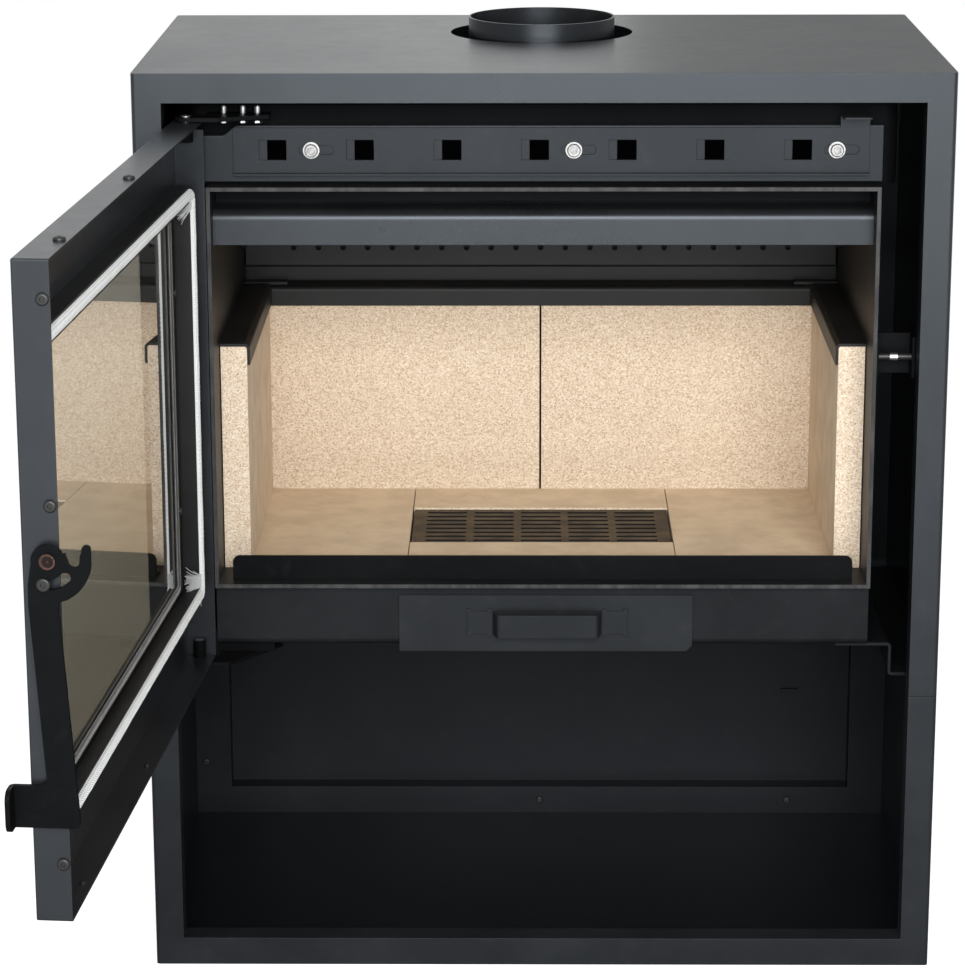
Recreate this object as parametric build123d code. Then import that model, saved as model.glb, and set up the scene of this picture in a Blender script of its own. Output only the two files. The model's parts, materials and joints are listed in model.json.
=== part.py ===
from build123d import *
import os
from math import cos, radians, sin

# Fireplace insert with a log store under the firebox and a side-hung glass door.
# Everything is modelled with the casing's front face in the plane Y = 0, the back towards +Y
# and the floor at Z = 0, and is moved to the centre of the base when it is saved.
# The door is modelled shut and swung open about its pins when it is saved.

# ---------------------------------------------------------------- casing
WIDTH = 800.0
DEPTH = 463.0
HEIGHT = 927.0
CASING_SHEET = 2.0
CASING_CORNER = 4.0
FRAME_FACE = 29.0  # face width of the frame round the front opening
FRAME_RETURN = 28.0  # how far the frame's inner edge is folded back
SEAM_Z = 293.0  # where the upper casing stands on the base casing
SEAM_GROOVE = 0.8
REAR_FRAME_SETBACK = 23.0  # rear frame to the outer face of the back panel
REAR_FRAME_LOW = 34.0  # top of the rear frame's lower strip
REAR_FRAME_SIDE = 40.0
REAR_SCREWS_X = (0.0, 288.0)  # screws in the lower strip
REAR_SCREW_Z = 18.0
REAR_SIDE_SCREW = (13.0, 64.0)  # screw in the side strip: in from the casing's side, and Z
REAR_SCREW_SHANK = 2.0
REAR_SCREW_HEAD = (4.0, 2.2)  # radius and height
BACK_TAB = (290.0, 148.0)  # lanced tab of the back panel, X and Z
BACK_TAB_SIZE = (19.0, 3.0)

# ---------------------------------------------------------------- firebox
BOX_WALL = 4.0
BOX_SIDE_SPACE = 68.0  # casing's side to firebox
BOX_BACK_SPACE = 33.0  # casing's back to firebox
BOX_TOP_SPACE = 116.0  # casing's top to firebox
BOX_OVER_SEAM = 45.0
BOX_HALF = WIDTH / 2 - BOX_SIDE_SPACE
BOX_BACK = DEPTH - BOX_BACK_SPACE
BOX_TOP = HEIGHT - BOX_TOP_SPACE
BOX_BOTTOM = SEAM_Z + BOX_OVER_SEAM
RIM_Y = 25.7  # front edge of the firebox walls
LEDGE_RISE = 66.0
LEDGE_TOP = BOX_BOTTOM + LEDGE_RISE  # sill behind the rim's lower edge
LEDGE_BACK = 88.0
SILL_GAP = 0.5  # sill to bricks
BED_DROP = 26.0
BED_TOP = LEDGE_TOP - BED_DROP  # plate that the bricks stand on
BASE_PANEL_Y = 38.0
BASE_PANEL_SHEET = 2.0
BASE_PANEL_FOLD = 22.0
BASE_PANEL_BEND = 7.0  # outer radius of the fold
AIR_SLOT = (56.0, 80.0)  # front and back of the airwash slot in the firebox's top
INNER_HALF = BOX_HALF - BOX_WALL
INNER_BACK = BOX_BACK - BOX_WALL

# ---------------------------------------------------------------- flue
FLUE_RADIUS = 75.0  # inside of the collar, for a 150 mm pipe
FLUE_WALL = 2.0
FLUE_FROM_BACK = 112.0  # middle of the collar to the firebox's back
FLUE_Y = BOX_BACK - FLUE_FROM_BACK
FLUE_RISE = 16.6  # collar above the casing
FLUE_CASING_GAP = 19.0  # open ring round the collar in the casing's top

# ---------------------------------------------------------------- door
DOOR_OVER_HINGE = 26.0  # door beyond the firebox on the hinge side
DOOR_OVER_LATCH = 12.4
DOOR_OVER_TOP = 67.0
DOOR_UNDER_LEDGE = 75.3
DOOR_LEFT = -BOX_HALF - DOOR_OVER_HINGE
DOOR_RIGHT = BOX_HALF + DOOR_OVER_LATCH
DOOR_LOW = LEDGE_TOP - DOOR_UNDER_LEDGE
DOOR_HIGH = BOX_TOP + DOOR_OVER_TOP
DOOR_DEPTH = 30.3
DOOR_SHEET = 2.0
DOOR_FILLET = 1.6
DOOR_NOTCH = (9.0, 7.0)  # relief behind the upper hinge corner: its height and depth
SIDE_SCREW_Y = 24.5
SIDE_SCREWS_DOWN = (31.6, 197.8)  # two screws in the free edge, from the door's top
SIDE_SCREW_UP = 50.4  # the third, from the door's lower edge
TOP_SCREW_Y = 22.5
TOP_SCREW_END = 76.4  # first screw in the upper and lower edges, from the free edge
TOP_SCREW_STEP = 0.41  # from screw to screw, as a share of the door's width
TOP_SCREWS = 2
EDGE_SCREW_SHANK = 2.5
EDGE_SCREW_REACH = 3.0  # shank inside the door's edge
WINDOW_SIDE = 59.0  # firebox side to window edge
WINDOW_HALF = BOX_HALF - WINDOW_SIDE
WINDOW_MARGIN = (25.5, 22.5)  # window edge inside the rope's centre line, below and above
ROPE_RADIUS = 6.0
ROPE_CORNER = 14.0
ROPE_LIFT = 2.0  # rope's centre line above the middle of the rim
SEAL_GAP = 0.3  # between the rope's face and the firebox rim when the door is shut
CHANNEL_SHEET = 2.0
CHANNEL_GAP = 0.2  # rope to channel wall
CHANNEL_LIP = 8.0  # channel wall above the channel floor
GLASS = 4.0
GLASS_EDGE = 13.0  # glass behind the window's edge, above and below
GLASS_SIDE = 8.0  # how much more of it lies behind the window's sides
TAPE = 0.5  # flat gasket between door sheet and glass
TAPE_INSET = 1.0
BRAID = (8.0, 3.6)  # braid on the inside of the glass, width and height
BRAID_INSET = 3.0
BRAID_ROUND = 2.4
STRIP_SHEET = 2.0  # strips that hold the glass
STRIP_WIDTH = 18.0  # of the strips up the sides
STRIP_GAP = 0.5  # braid to strip, and strip to strip
STRIP_SCREWS_Z = (-110.0, 110.0)  # from the middle of the window
STRIP_SCREW_SHANK = 1.8
STRIP_SCREW_HEAD = (3.6, 2.2)  # radius and height

# ---------------------------------------------------------------- hinge
HINGE_INSET = 9.6  # pin's axis to the door's edge
HINGE_X = DOOR_LEFT + HINGE_INSET
HINGE_Y = 15.0
OPEN_ANGLE = 94.46
PIN_RADIUS = 5.0
PIN_CLEARANCE = 0.06
BUSH_RADIUS = 6.4
BUSH_HEIGHT = 18.0
PIN_STAND = 1.0  # pin above the top plate
LOW_PIN_DROP = 3.0  # bottom pin below its plate
HINGE_PLATE = 4.0
HINGE_PLATE_GAP = 1.0  # hinge plate to door
HINGE_EYE = 11.0  # radius of the plate round the pin
HINGE_ARM = 24.4  # length of the plate's straight part
HINGE_TAIL = (18.4, 80.4)  # from the pin to the sides of the part that runs to the firebox
HINGE_TAIL_SLOPE = (12.0, 20.0)  # where its slanted edge starts, in from the left and the back
HINGE_TAIL_CORNER = 8.0
HINGE_BOLTS = (35.0, 53.8, 68.0)  # from the pin
HINGE_BOLT_Y = 38.4
HINGE_BOLT_RADIUS = 2.5
HINGE_HEAD = (3.1, 7.0)  # radius and height of the bolts' heads
HINGE_NUT = (4.4, 2.5)  # radius over the corners, and height
HINGE_SHELF = 3.0
HINGE_SHELF_END = 10.0  # shelf beyond the outer bolts
HINGE_SHELF_GAP = 1.5  # between the shelf and the shut door
LOW_TAIL_BACK = 90.0  # back edge of the bottom hinge plate
SPACER_BLOCK = (58.0, 4.0)  # block on the bottom plate: its width, and setback front and back

# ---------------------------------------------------------------- latch
PIVOT_Y = 22.0
PIVOT_DOWN = 241.0  # from the door's top
PIVOT_Z = DOOR_HIGH - PIVOT_DOWN
LEVER_STANDOFF = 4.0
LEVER_SHEET = 4.0
LEVER_DISC = 13.3
LEVER_BORE = 5.0
GUIDE_REACH = 19.5  # pivot to the guide screw, and radius of its slot
GUIDE_LEAN = 10.0  # guide screw off the plumb line through the pivot, outwards
GUIDE_SLOT_WIDTH = 8.6
GUIDE_SLOT_ANGLE = 57.0
GUIDE_SHANK = 3.9
GUIDE_HEAD = (5.8, 3.0)  # radius and height
NOTCH_REACH = 21.2  # pivot to the middle of the notch
NOTCH_RADIUS = 4.7
NOTCH_FLARE = 1.2
FINGER_GAP = 1.8  # notch to the hook's finger
FINGER = 7.2
FINGER_ROUND = 3.4
FINGER_HIGH = 13.4
CRESCENT_HIGH = 6.0
SHOULDER_OUT = ((-12.8, 0.0), (-16.2, -20.0), (-16.4, -38.0))  # its outer side, from the pivot
SHOULDER_IN = ((7.4, -38.0), (13.2, -24.0), (13.2, 0.0))
LEVER_BAR = (-18.7, 5.0)  # outer and inner edge of the bar, from the pivot
LEVER_LEAN = 3.7  # the bar's lower end is turned inwards about the pivot
LEVER_END = 84.0  # lever's lower end above the door's
LEVER_LENGTH = PIVOT_Z - DOOR_LOW - LEVER_END
HANDLE_HEIGHT = 36.0
HANDLE_REACH = 37.9  # pivot to the front of the handle plate
HANDLE_LIP = 18.0
HANDLE_ROUND = 9.0
HANDLE_FOLD = 4.8
HANDLE_CORNERS = (8.0, 5.0)  # between the bar and the handle, and at the bar's lower end
PIVOT_COLLAR = 2.5  # width of the bush's shoulder
PIVOT_HEAD = (6.85, 2.0)  # radius and height
PIVOT_DISH = (4.9, 1.0)  # radius and depth
LEVER_SHAKE = 0.3  # lever to the heads of its pivot and guide screw
COLLAR_GAP = 0.1
ROLLER_RADIUS = 4.25
ROLLER_CLEARANCE = 0.08
ROLLER_WIDTH = 8.0
ROLLER_END_GAP = 0.2
LATCH_PIN_RADIUS = 2.5
SPACER_RADIUS = 3.75
BRACKET_SHEET = 3.0
BRACKET_REACH = 39.0  # from the firebox wall to the bracket's outer face
BRACKET_SPAN = (20.0, 21.0)  # below and above the pivot
BRACKET_FRONT = 36.0
BRACKET_WEB = 58.0

# ---------------------------------------------------------------- air supply and slider
PANEL_OVER_HINGE = 15.0  # panel beyond the firebox on the hinge side
PANEL_OVER_LATCH = 1.5
PANEL_OVER_BOX = 4.0
PANEL_UNDER_DOOR = 7.0  # panel's top below the door's
PANEL_LEFT = -BOX_HALF - PANEL_OVER_HINGE
PANEL_RIGHT = BOX_HALF + PANEL_OVER_LATCH
PANEL_LOW = BOX_TOP + PANEL_OVER_BOX
PANEL_HIGH = DOOR_HIGH - PANEL_UNDER_DOOR
PANEL_Y = 38.0
PANEL_SHEET = 2.0
PANEL_BEND = 1.8
PANEL_RELIEF = (34.0, 45.5)  # slanted step at the bolts: its foot and its top, from the pin
PANEL_STEP = (10.0, 9.0)  # height and radius of that step
AIR_BOX_SIDE = 17.0  # air box beyond the firebox
AIR_BOX_HALF = BOX_HALF + AIR_BOX_SIDE
AIR_BOX_Y = 46.0
AIR_BOX_BACK = 150.0
AIR_BOX_SPACE = 37.0  # casing's top to air box
AIR_BOX_TOP = HEIGHT - AIR_BOX_SPACE
AIR_BOX_CORNER = 15.0
AIR_SHEET = 2.0
AIR_MOUTH_TALL = 32.0  # opening in the air box behind the windows
SLIDER_LEFT_END = 27.0  # in from the firebox's side
SLIDER_RIGHT_END = 12.0
SLIDER_RISE = 7.0  # above the panel's lower edge
SLIDER_UNDER = 2.5  # below the panel's upper edge
SLIDER_LEFT = -BOX_HALF + SLIDER_LEFT_END
SLIDER_RIGHT = BOX_HALF - SLIDER_RIGHT_END
SLIDER_LOW = PANEL_LOW + SLIDER_RISE
SLIDER_HIGH = PANEL_HIGH - SLIDER_UNDER
SLIDER_SHEET = 2.0
SLIDER_GAP = 0.3
SLIDER_LIP = 7.0
AIR_WINDOWS = 7
AIR_WINDOW = (27.0, 20.0)
AIR_WINDOW_RISE = 31.5  # middle of the windows above the panel's lower edge
AIR_WINDOW_Z = PANEL_LOW + AIR_WINDOW_RISE
AIR_END = 11.5
AIR_PITCH = (SLIDER_RIGHT - SLIDER_LEFT - 2 * AIR_END) / AIR_WINDOWS
AIR_REACH = AIR_PITCH * (AIR_WINDOWS - 1) / 2  # from the middle window to the last one
AIR_SHIFT = -8.0  # slider windows against the fixed ones
SLIDER_SCREW_SHIFT = 30.0  # screws beside the first, middle and last window
SLIDER_HEAD = (6.5, 4.0)  # radius and height of the screws' heads
SLIDER_SLOT = (34.4, 9.5)
SLIDER_SLOT_SHIFT = 4.8
TAB_WIDTH = 29.0
TAB_OVER_DOOR = 4.4
TAB_LEFT = SLIDER_RIGHT - TAB_WIDTH
TAB_TOP = DOOR_HIGH + TAB_OVER_DOOR
TAB_REACH = 28.0
TAB_CORNER = 3.0
SCREW_SHANK = 4.0
WASHER_RADIUS = 8.2
WASHER = 1.4

# ---------------------------------------------------------------- inside the firebox
BRICK = 27.0
BRICK_JOINT = 1.0
BRICK_WALL_GAP = 1.0
BACK_JOINT = 2.2
BRICK_UNDER_TOP = 174.0  # side bricks' top to the firebox's top
SIDE_BRICK_TOP = BOX_TOP - BRICK_UNDER_TOP
CAP_SHEET = 3.0
CAP_LEG = 22.0
CAP_BEND = 4.0
CAP_TAB = (20.0, 6.0, 14.0)  # back cap's tab: reach over the side cap, setback, width
BACK_BRICK_Y = INNER_BACK - CAP_SHEET - BRICK
FLOOR_JOINT_X = 139.5
FRONT_FLOOR_BRICK = 90.0
REAR_FLOOR_BRICK = 81.0
GRATE_FRONT = LEDGE_BACK + FRONT_FLOOR_BRICK
GRATE_BACK = BACK_BRICK_Y - REAR_FLOOR_BRICK
GRATE_HEIGHT = 25.0
GRATE_HIGH = BED_TOP + GRATE_HEIGHT
GRATE_PLATE = 6.0
GRATE_FIT = 1.0  # round the grate
GRATE_BEARING = 19.5  # bricks' edge to the hole under the grate
GRATE_GROUPS = 5
GRATE_ROWS = 8
GRATE_SLOT = (44.0, 6.4)
GRATE_BAR = 7.0  # between the groups of slots
GRATE_RIM = 5.0  # in front of and behind the rows of slots
RETAINER_Y = 42.0
RETAINER_END = 13.0  # retainer to the firebox's wall
RETAINER_HALF = INNER_HALF - RETAINER_END
RETAINER_HEIGHT = 25.5
RETAINER_SHEET = 3.0
RETAINER_FOOT = 16.0
RETAINER_CORNER = 7.0
DEFLECTOR_Y = 50.0
DEFLECTOR_DOWN = (62.0, 27.0)  # its lower edge and its fold, from the firebox's top
DEFLECTOR_BACK = 92.0
DEFLECTOR_SHEET = 2.0
DEFLECTOR_BEND = 9.0
DUCT_DEPTH = 16.0
DUCT_RISE = 18.0  # duct above the side bricks
DUCT_HEIGHT = 37.0
DUCT_Y = INNER_BACK - DUCT_DEPTH
DUCT_LOW = SIDE_BRICK_TOP + DUCT_RISE
DUCT_HIGH = DUCT_LOW + DUCT_HEIGHT
DUCT_HOLES = 21
DUCT_HOLE_END = 55.0  # last hole to the firebox's wall
DUCT_HOLE_PITCH = 2 * (INNER_HALF - DUCT_HOLE_END) / (DUCT_HOLES - 1)
DUCT_HOLE_RADIUS = 3.0
DUCT_HOLE_RISE = 22.0
BAFFLE = 25.0
BAFFLE_FRONT = 130.0
BAFFLE_DOWN = 49.0  # lower front edge of the baffle, from the firebox's top
BAFFLE_BACK_GAP = 12.0
BAFFLE_SIDE_GAP = 3.0
BAFFLE_RAIL = 25.0
BAFFLE_RAIL_SHEET = 3.0
BAFFLE_RAIL_WEB = 18.0
BAFFLE_RAIL_SHORT = 6.0  # rail's end to the air channel

# ---------------------------------------------------------------- ash drawer
DRAWER_LEFT = -146.0
DRAWER_RIGHT = 153.0
DRAWER_UNDER_BOX = 8.0
DRAWER_UNDER_LEDGE = 14.5
DRAWER_LOW = BOX_BOTTOM - DRAWER_UNDER_BOX
DRAWER_HIGH = LEDGE_TOP - DRAWER_UNDER_LEDGE
DRAWER_SHEET = 2.0
DRAWER_GAP = 0.4
DRAWER_CORNER = 6.0
TRAY_HALF = 126.0
TRAY_UNDER = 2.0  # tray to the firebox's bottom
TRAY_OVER = 3.0  # tray to the brick bed
TRAY_LOW = BOX_BOTTOM + BOX_WALL + TRAY_UNDER
TRAY_HIGH = BED_TOP - BOX_WALL - TRAY_OVER
TRAY_FROM_BACK = 85.0
TRAY_BACK = BOX_BACK - TRAY_FROM_BACK
TRAY_FIT = 1.0
HOUSING_SPARE = 10.0  # behind the tray in its channel
HANDLE_X = 5.0
HANDLE_GRIP_HALF = 50.5
HANDLE_FOOT = 27.0
HANDLE_STAND = 15.0
HANDLE_RISE = 19.0
HANDLE_LOW = DRAWER_LOW + HANDLE_RISE
HANDLE_TALL = 24.0
HANDLE_BULB = 3.0
HANDLE_SHEET = 2.0
HANDLE_BEND = 2.5
HANDLE_SLOPE = 4.0  # width of the strap's sloping part

# ---------------------------------------------------------------- rails and small screws
RAIL_SHEET = 3.0
RAIL_TOP_WIDTH = 57.5
RAIL_SIDE = 25.5  # outer face of the rail's upright beyond the firebox
RAIL_X = BOX_HALF + RAIL_SIDE
RAIL_DROP = 37.0
RAIL_START = 8.0  # right-hand rail behind the base panel's face
RAIL_HINGE_GAP = 4.0  # left-hand rail behind the bottom hinge plate
BUTTON_RADIUS = 5.3
BUTTON_HEIGHT = 3.2


# ================================================================ helpers
def block(x, y, z):
    """A box from three ranges."""
    size = [end - start for start, end in (x, y, z)]
    middle = [(end + start) / 2 for start, end in (x, y, z)]
    return Pos(*middle) * Box(*size)


def rect(a, b, corner=0.0):
    """A flat rectangle from two ranges, with rounded corners if asked."""
    width, height = a[1] - a[0], b[1] - b[0]
    shape = RectangleRounded(width, height, corner) if corner else Rectangle(width, height)
    return Pos((a[0] + a[1]) / 2, (b[0] + b[1]) / 2) * shape


def frontal(sketch, y, thick):
    """An X-Z outline whose front face lies at y, thick towards the back."""
    return Pos(0, y + thick, 0) * extrude(Plane.XZ * sketch, thick)


def sideways(sketch, x, thick):
    """A Y-Z outline whose left face lies at x."""
    return Pos(x, 0, 0) * extrude(Plane.YZ * sketch, thick)


def level(sketch, z, thick):
    """An X-Y outline whose lower face lies at z."""
    return Pos(0, 0, z) * extrude(sketch, thick)


def folded(points, sheet, bend):
    """The section of a folded sheet whose middle line runs through the points."""
    return trace(FilletPolyline(*points, radius=bend), sheet)


def ring(outer, inner):
    """What lies between two outlines."""
    return outer - inner


def screw_holes(places, radius, y, depth):
    """Cutters for round holes through a sheet that faces the front."""
    return [frontal(Pos(x, z) * Circle(radius), y, depth) for x, z in places]


def mirrored(part):
    """The same part on the other side of the plane X = 0."""
    return part.mirror(Plane.YZ)


def aimed(part, place, direction):
    """A part whose own +Z is turned to a direction and set down at a place."""
    return Plane(origin=place, z_dir=direction).location * part


def button_screw(shank, length, radius=BUTTON_RADIUS, height=BUTTON_HEIGHT):
    """A button-head screw: the head stands on Z = 0, the shank goes down."""
    head = Pos(0, 0, height / 2) * Cylinder(radius, height)
    head = fillet(head.edges().group_by(Axis.Z)[-1], height * 0.6)
    socket = extrude(RegularPolygon(radius * 0.42, 6), height)
    return head - Pos(0, 0, height * 0.45) * socket + Pos(0, 0, -length / 2) * Cylinder(shank, length)


def cap_screw(shank, length, radius, height):
    """A socket-head screw: the head stands on Z = 0, the shank goes down."""
    head = Pos(0, 0, height / 2) * Cylinder(radius, height)
    head = chamfer(head.edges().group_by(Axis.Z)[-1], radius * 0.12)
    socket = extrude(RegularPolygon(radius * 0.55, 6), height)
    return head - Pos(0, 0, height * 0.4) * socket + Pos(0, 0, -length / 2) * Cylinder(shank, length)


DOOR_SWING = Pos(HINGE_X, HINGE_Y, 0) * Rot(0, 0, -OPEN_ANGLE) * Pos(-HINGE_X, -HINGE_Y, 0)


def save(name, *parts, on_door=False):
    """Write the solids of one node, moved to the frame of the base's centre."""
    place = Pos(0, -DEPTH / 2, 0)
    if on_door:
        place = place * DOOR_SWING
    solids = [place * solid for part in parts for solid in part.solids()]
    node = solids[0] if len(solids) == 1 else Compound(children=solids)
    export_step(node, f"parts/{name}.step")


# ================================================================ casing
OPENING_HALF = WIDTH / 2 - FRAME_FACE
INSIDE_HALF = WIDTH / 2 - CASING_SHEET


def casing_walls(low, high, floor, ceiling):
    """A stretch of the casing: its front frame with folded edges, and the flat sheets behind it."""
    outer = block((-WIDTH / 2, WIDTH / 2), (0, DEPTH), (0, HEIGHT))
    outer = fillet(outer.edges().filter_by(Axis.Z), CASING_CORNER)
    outer = outer & block((-WIDTH, WIDTH), (-DEPTH, DEPTH * 2), (low, high))
    inner = block(
        (-WIDTH / 2 + CASING_SHEET, WIDTH / 2 - CASING_SHEET),
        (CASING_SHEET, DEPTH + CASING_SHEET),
        (CASING_SHEET if floor else low, HEIGHT - CASING_SHEET if ceiling else high),
    )
    shell = outer - inner
    sill = FRAME_FACE if floor else low
    lintel = HEIGHT - FRAME_FACE if ceiling else high
    opening = block((-OPENING_HALF, OPENING_HALF), (-CASING_SHEET, FRAME_RETURN), (sill, lintel))
    collar = block(
        (-OPENING_HALF - CASING_SHEET, OPENING_HALF + CASING_SHEET),
        (0, FRAME_RETURN),
        (sill - CASING_SHEET if floor else low, lintel + CASING_SHEET if ceiling else high),
    )
    shell = shell + collar - opening
    behind = (FRAME_RETURN, DEPTH)
    frame = shell & block((-WIDTH, WIDTH), (-DEPTH, FRAME_RETURN), (low, high))
    sides = [
        shell & block(x, behind, (low, high))
        for x in ((-WIDTH, -INSIDE_HALF), (INSIDE_HALF, WIDTH))
    ]
    flat = shell & block((-INSIDE_HALF, INSIDE_HALF), behind, (low, high))
    return [frame, *sides, flat]


def upper_casing():
    hole = Pos(0, FLUE_Y, HEIGHT) * Cylinder(
        FLUE_RADIUS + FLUE_WALL + FLUE_CASING_GAP, CASING_SHEET * 4
    )
    band = (SEAM_Z, SEAM_Z + SEAM_GROOVE)
    skin = block((-WIDTH, WIDTH), (-DEPTH, DEPTH * 2), band) - block(
        (-WIDTH / 2 + SEAM_GROOVE, WIDTH / 2 - SEAM_GROOVE), (SEAM_GROOVE, DEPTH * 2), band
    )
    return [wall - hole - skin for wall in casing_walls(SEAM_Z, HEIGHT, floor=False, ceiling=True)]


def base_casing():
    return casing_walls(0, SEAM_Z, floor=True, ceiling=False)


REAR_FRAME_Y = DEPTH - REAR_FRAME_SETBACK
BACK_PANEL_Y = DEPTH - CASING_SHEET
REAR_SCREWS = [(x, REAR_SCREW_Z) for x in REAR_SCREWS_X]
REAR_SCREWS.append((REAR_SIDE_SCREW[0] - WIDTH / 2, REAR_SIDE_SCREW[1]))


def rear_frame():
    """The frame at the back of the log store, its inner edge folded back to the back panel."""
    low, high = CASING_SHEET, SEAM_Z
    side = INSIDE_HALF - REAR_FRAME_SIDE
    face = rect((-INSIDE_HALF, INSIDE_HALF), (low, high))
    opening = rect((-side, side), (REAR_FRAME_LOW, high))
    edge = rect((-side - CASING_SHEET, side + CASING_SHEET), (REAR_FRAME_LOW - CASING_SHEET, high))
    flat = frontal(face - opening, REAR_FRAME_Y - CASING_SHEET, CASING_SHEET)
    holes = screw_holes(REAR_SCREWS, REAR_SCREW_SHANK, REAR_FRAME_Y - CASING_SHEET, CASING_SHEET)
    return flat - holes + frontal(edge - opening, REAR_FRAME_Y, BACK_PANEL_Y - REAR_FRAME_Y)


def back_panel():
    sheet = block(
        (-INSIDE_HALF, INSIDE_HALF), (BACK_PANEL_Y, DEPTH), (CASING_SHEET, HEIGHT - CASING_SHEET)
    )
    x, z = BACK_TAB
    wide, tall = BACK_TAB_SIZE
    tab = block((x - wide / 2, x + wide / 2), (BACK_PANEL_Y - tall * 2, BACK_PANEL_Y), (z - tall, z))
    return [sheet, tab]


def rear_screws():
    face = REAR_FRAME_Y - CASING_SHEET
    screw = button_screw(REAR_SCREW_SHANK, CASING_SHEET, *REAR_SCREW_HEAD)
    return [aimed(screw, (x, face, z), (0, -1, 0)) for x, z in REAR_SCREWS]


# ================================================================ firebox
ROPE_Y = RIM_Y - SEAL_GAP - ROPE_RADIUS
ROPE_HALF = BOX_HALF - BOX_WALL / 2
ROPE_LOW = LEDGE_TOP - BOX_WALL / 2 + ROPE_LIFT
ROPE_HIGH = BOX_TOP - BOX_WALL / 2 + ROPE_LIFT
GRATE_HOLE_HALF = FLOOR_JOINT_X - GRATE_BEARING


def ash_hole(low, high):
    """What is cut out under the middle of the grate."""
    y = (GRATE_FRONT + GRATE_BEARING, GRATE_BACK - GRATE_BEARING)
    return block((-GRATE_HOLE_HALF, GRATE_HOLE_HALF), y, (low, high))


def firebox_shell():
    """The welded steel plates: sides, top, back, sill, riser, brick bed and bottom."""
    front = BASE_PANEL_Y + BASE_PANEL_SHEET
    fold_end = BASE_PANEL_Y + BASE_PANEL_BEND
    fold_high = BOX_BOTTOM - BASE_PANEL_SHEET + BASE_PANEL_BEND
    side = rect((RIM_Y, BOX_BACK), (LEDGE_TOP - BOX_WALL, BOX_TOP))
    side = side + rect((front, BOX_BACK), (BOX_BOTTOM, LEDGE_TOP))
    side = side - rect((front, fold_end), (BOX_BOTTOM, fold_high))
    right = sideways(side, INNER_HALF, BOX_WALL)
    inside = (-INNER_HALF, INNER_HALF)
    top = block(inside, (RIM_Y, BOX_BACK), (BOX_TOP - BOX_WALL, BOX_TOP))
    back = block(inside, (INNER_BACK, BOX_BACK), (BOX_BOTTOM, BOX_TOP - BOX_WALL))
    riser_back = LEDGE_BACK - SILL_GAP
    riser_front = riser_back - BOX_WALL
    sill = block(inside, (RIM_Y, riser_back), (LEDGE_TOP - BOX_WALL, LEDGE_TOP))
    riser = block(inside, (riser_front, riser_back), (BED_TOP, LEDGE_TOP - BOX_WALL))
    bed = block(inside, (riser_front, INNER_BACK), (BED_TOP - BOX_WALL, BED_TOP))
    bottom = block(inside, (fold_end, INNER_BACK), (BOX_BOTTOM, BOX_BOTTOM + BOX_WALL))
    flue_hole = Pos(0, FLUE_Y, BOX_TOP) * Cylinder(FLUE_RADIUS, 4 * BOX_WALL)
    air_slot = block((-AIR_REACH, AIR_REACH), AIR_SLOT, (BOX_TOP - 2 * BOX_WALL, BOX_TOP + 1))
    plates = [right, mirrored(right), back, sill, riser, bottom]
    return plates + [top - flue_hole - air_slot, bed - ash_hole(BED_TOP - 2 * BOX_WALL, LEDGE_TOP)]


def flue_collar():
    outer = level(Circle(FLUE_RADIUS + FLUE_WALL), BOX_TOP, HEIGHT + FLUE_RISE - BOX_TOP)
    inner = level(Circle(FLUE_RADIUS), BOX_TOP - 1, HEIGHT + FLUE_RISE)
    return Pos(0, FLUE_Y, 0) * (outer - inner)


def base_panel():
    """The panel under the sill, with the mouth of the ash drawer and a folded lower edge."""
    half_sheet = BASE_PANEL_SHEET / 2
    face, low = BASE_PANEL_Y + half_sheet, BOX_BOTTOM - half_sheet
    points = [(face, LEDGE_TOP - BOX_WALL), (face, low), (BASE_PANEL_Y + BASE_PANEL_FOLD, low)]
    section = folded(points, BASE_PANEL_SHEET, BASE_PANEL_BEND - half_sheet)
    fit = TRAY_FIT
    mouth = rect((-TRAY_HALF - fit, TRAY_HALF + fit), (TRAY_LOW - fit, TRAY_HIGH + fit))
    mouth = frontal(mouth, BASE_PANEL_Y, BASE_PANEL_SHEET)
    return sideways(section, -BOX_HALF, 2 * BOX_HALF) - mouth


BRICK_FACE = INNER_HALF - BRICK_WALL_GAP - BRICK  # X of the side bricks' faces
BRICK_ROUND = CAP_BEND - CAP_SHEET / 2  # bricks' edges under the bend of the caps


def side_brick():
    x = (BRICK_FACE, BRICK_FACE + BRICK)
    brick = block(x, (LEDGE_BACK, INNER_BACK - CAP_SHEET), (BED_TOP, SIDE_BRICK_TOP))
    return fillet(brick.edges().filter_by(Axis.Y).group_by(Axis.Z)[-1].sort_by(Axis.X)[0], BRICK_ROUND)


def back_brick():
    y = (BACK_BRICK_Y, BACK_BRICK_Y + BRICK)
    brick = block((BACK_JOINT / 2, BRICK_FACE), y, (BED_TOP, SIDE_BRICK_TOP - CAP_SHEET))
    return fillet(brick.edges().filter_by(Axis.X).group_by(Axis.Z)[-1].sort_by(Axis.Y)[0], BRICK_ROUND)


def floor_brick_side():
    x = (FLOOR_JOINT_X + BRICK_JOINT / 2, BRICK_FACE)
    return block(x, (LEDGE_BACK, BACK_BRICK_Y), (BED_TOP, BED_TOP + BRICK))


def floor_brick_middle(start, end):
    half = FLOOR_JOINT_X - BRICK_JOINT / 2
    return block((-half, half), (start, end), (BED_TOP, BED_TOP + BRICK))


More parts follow.
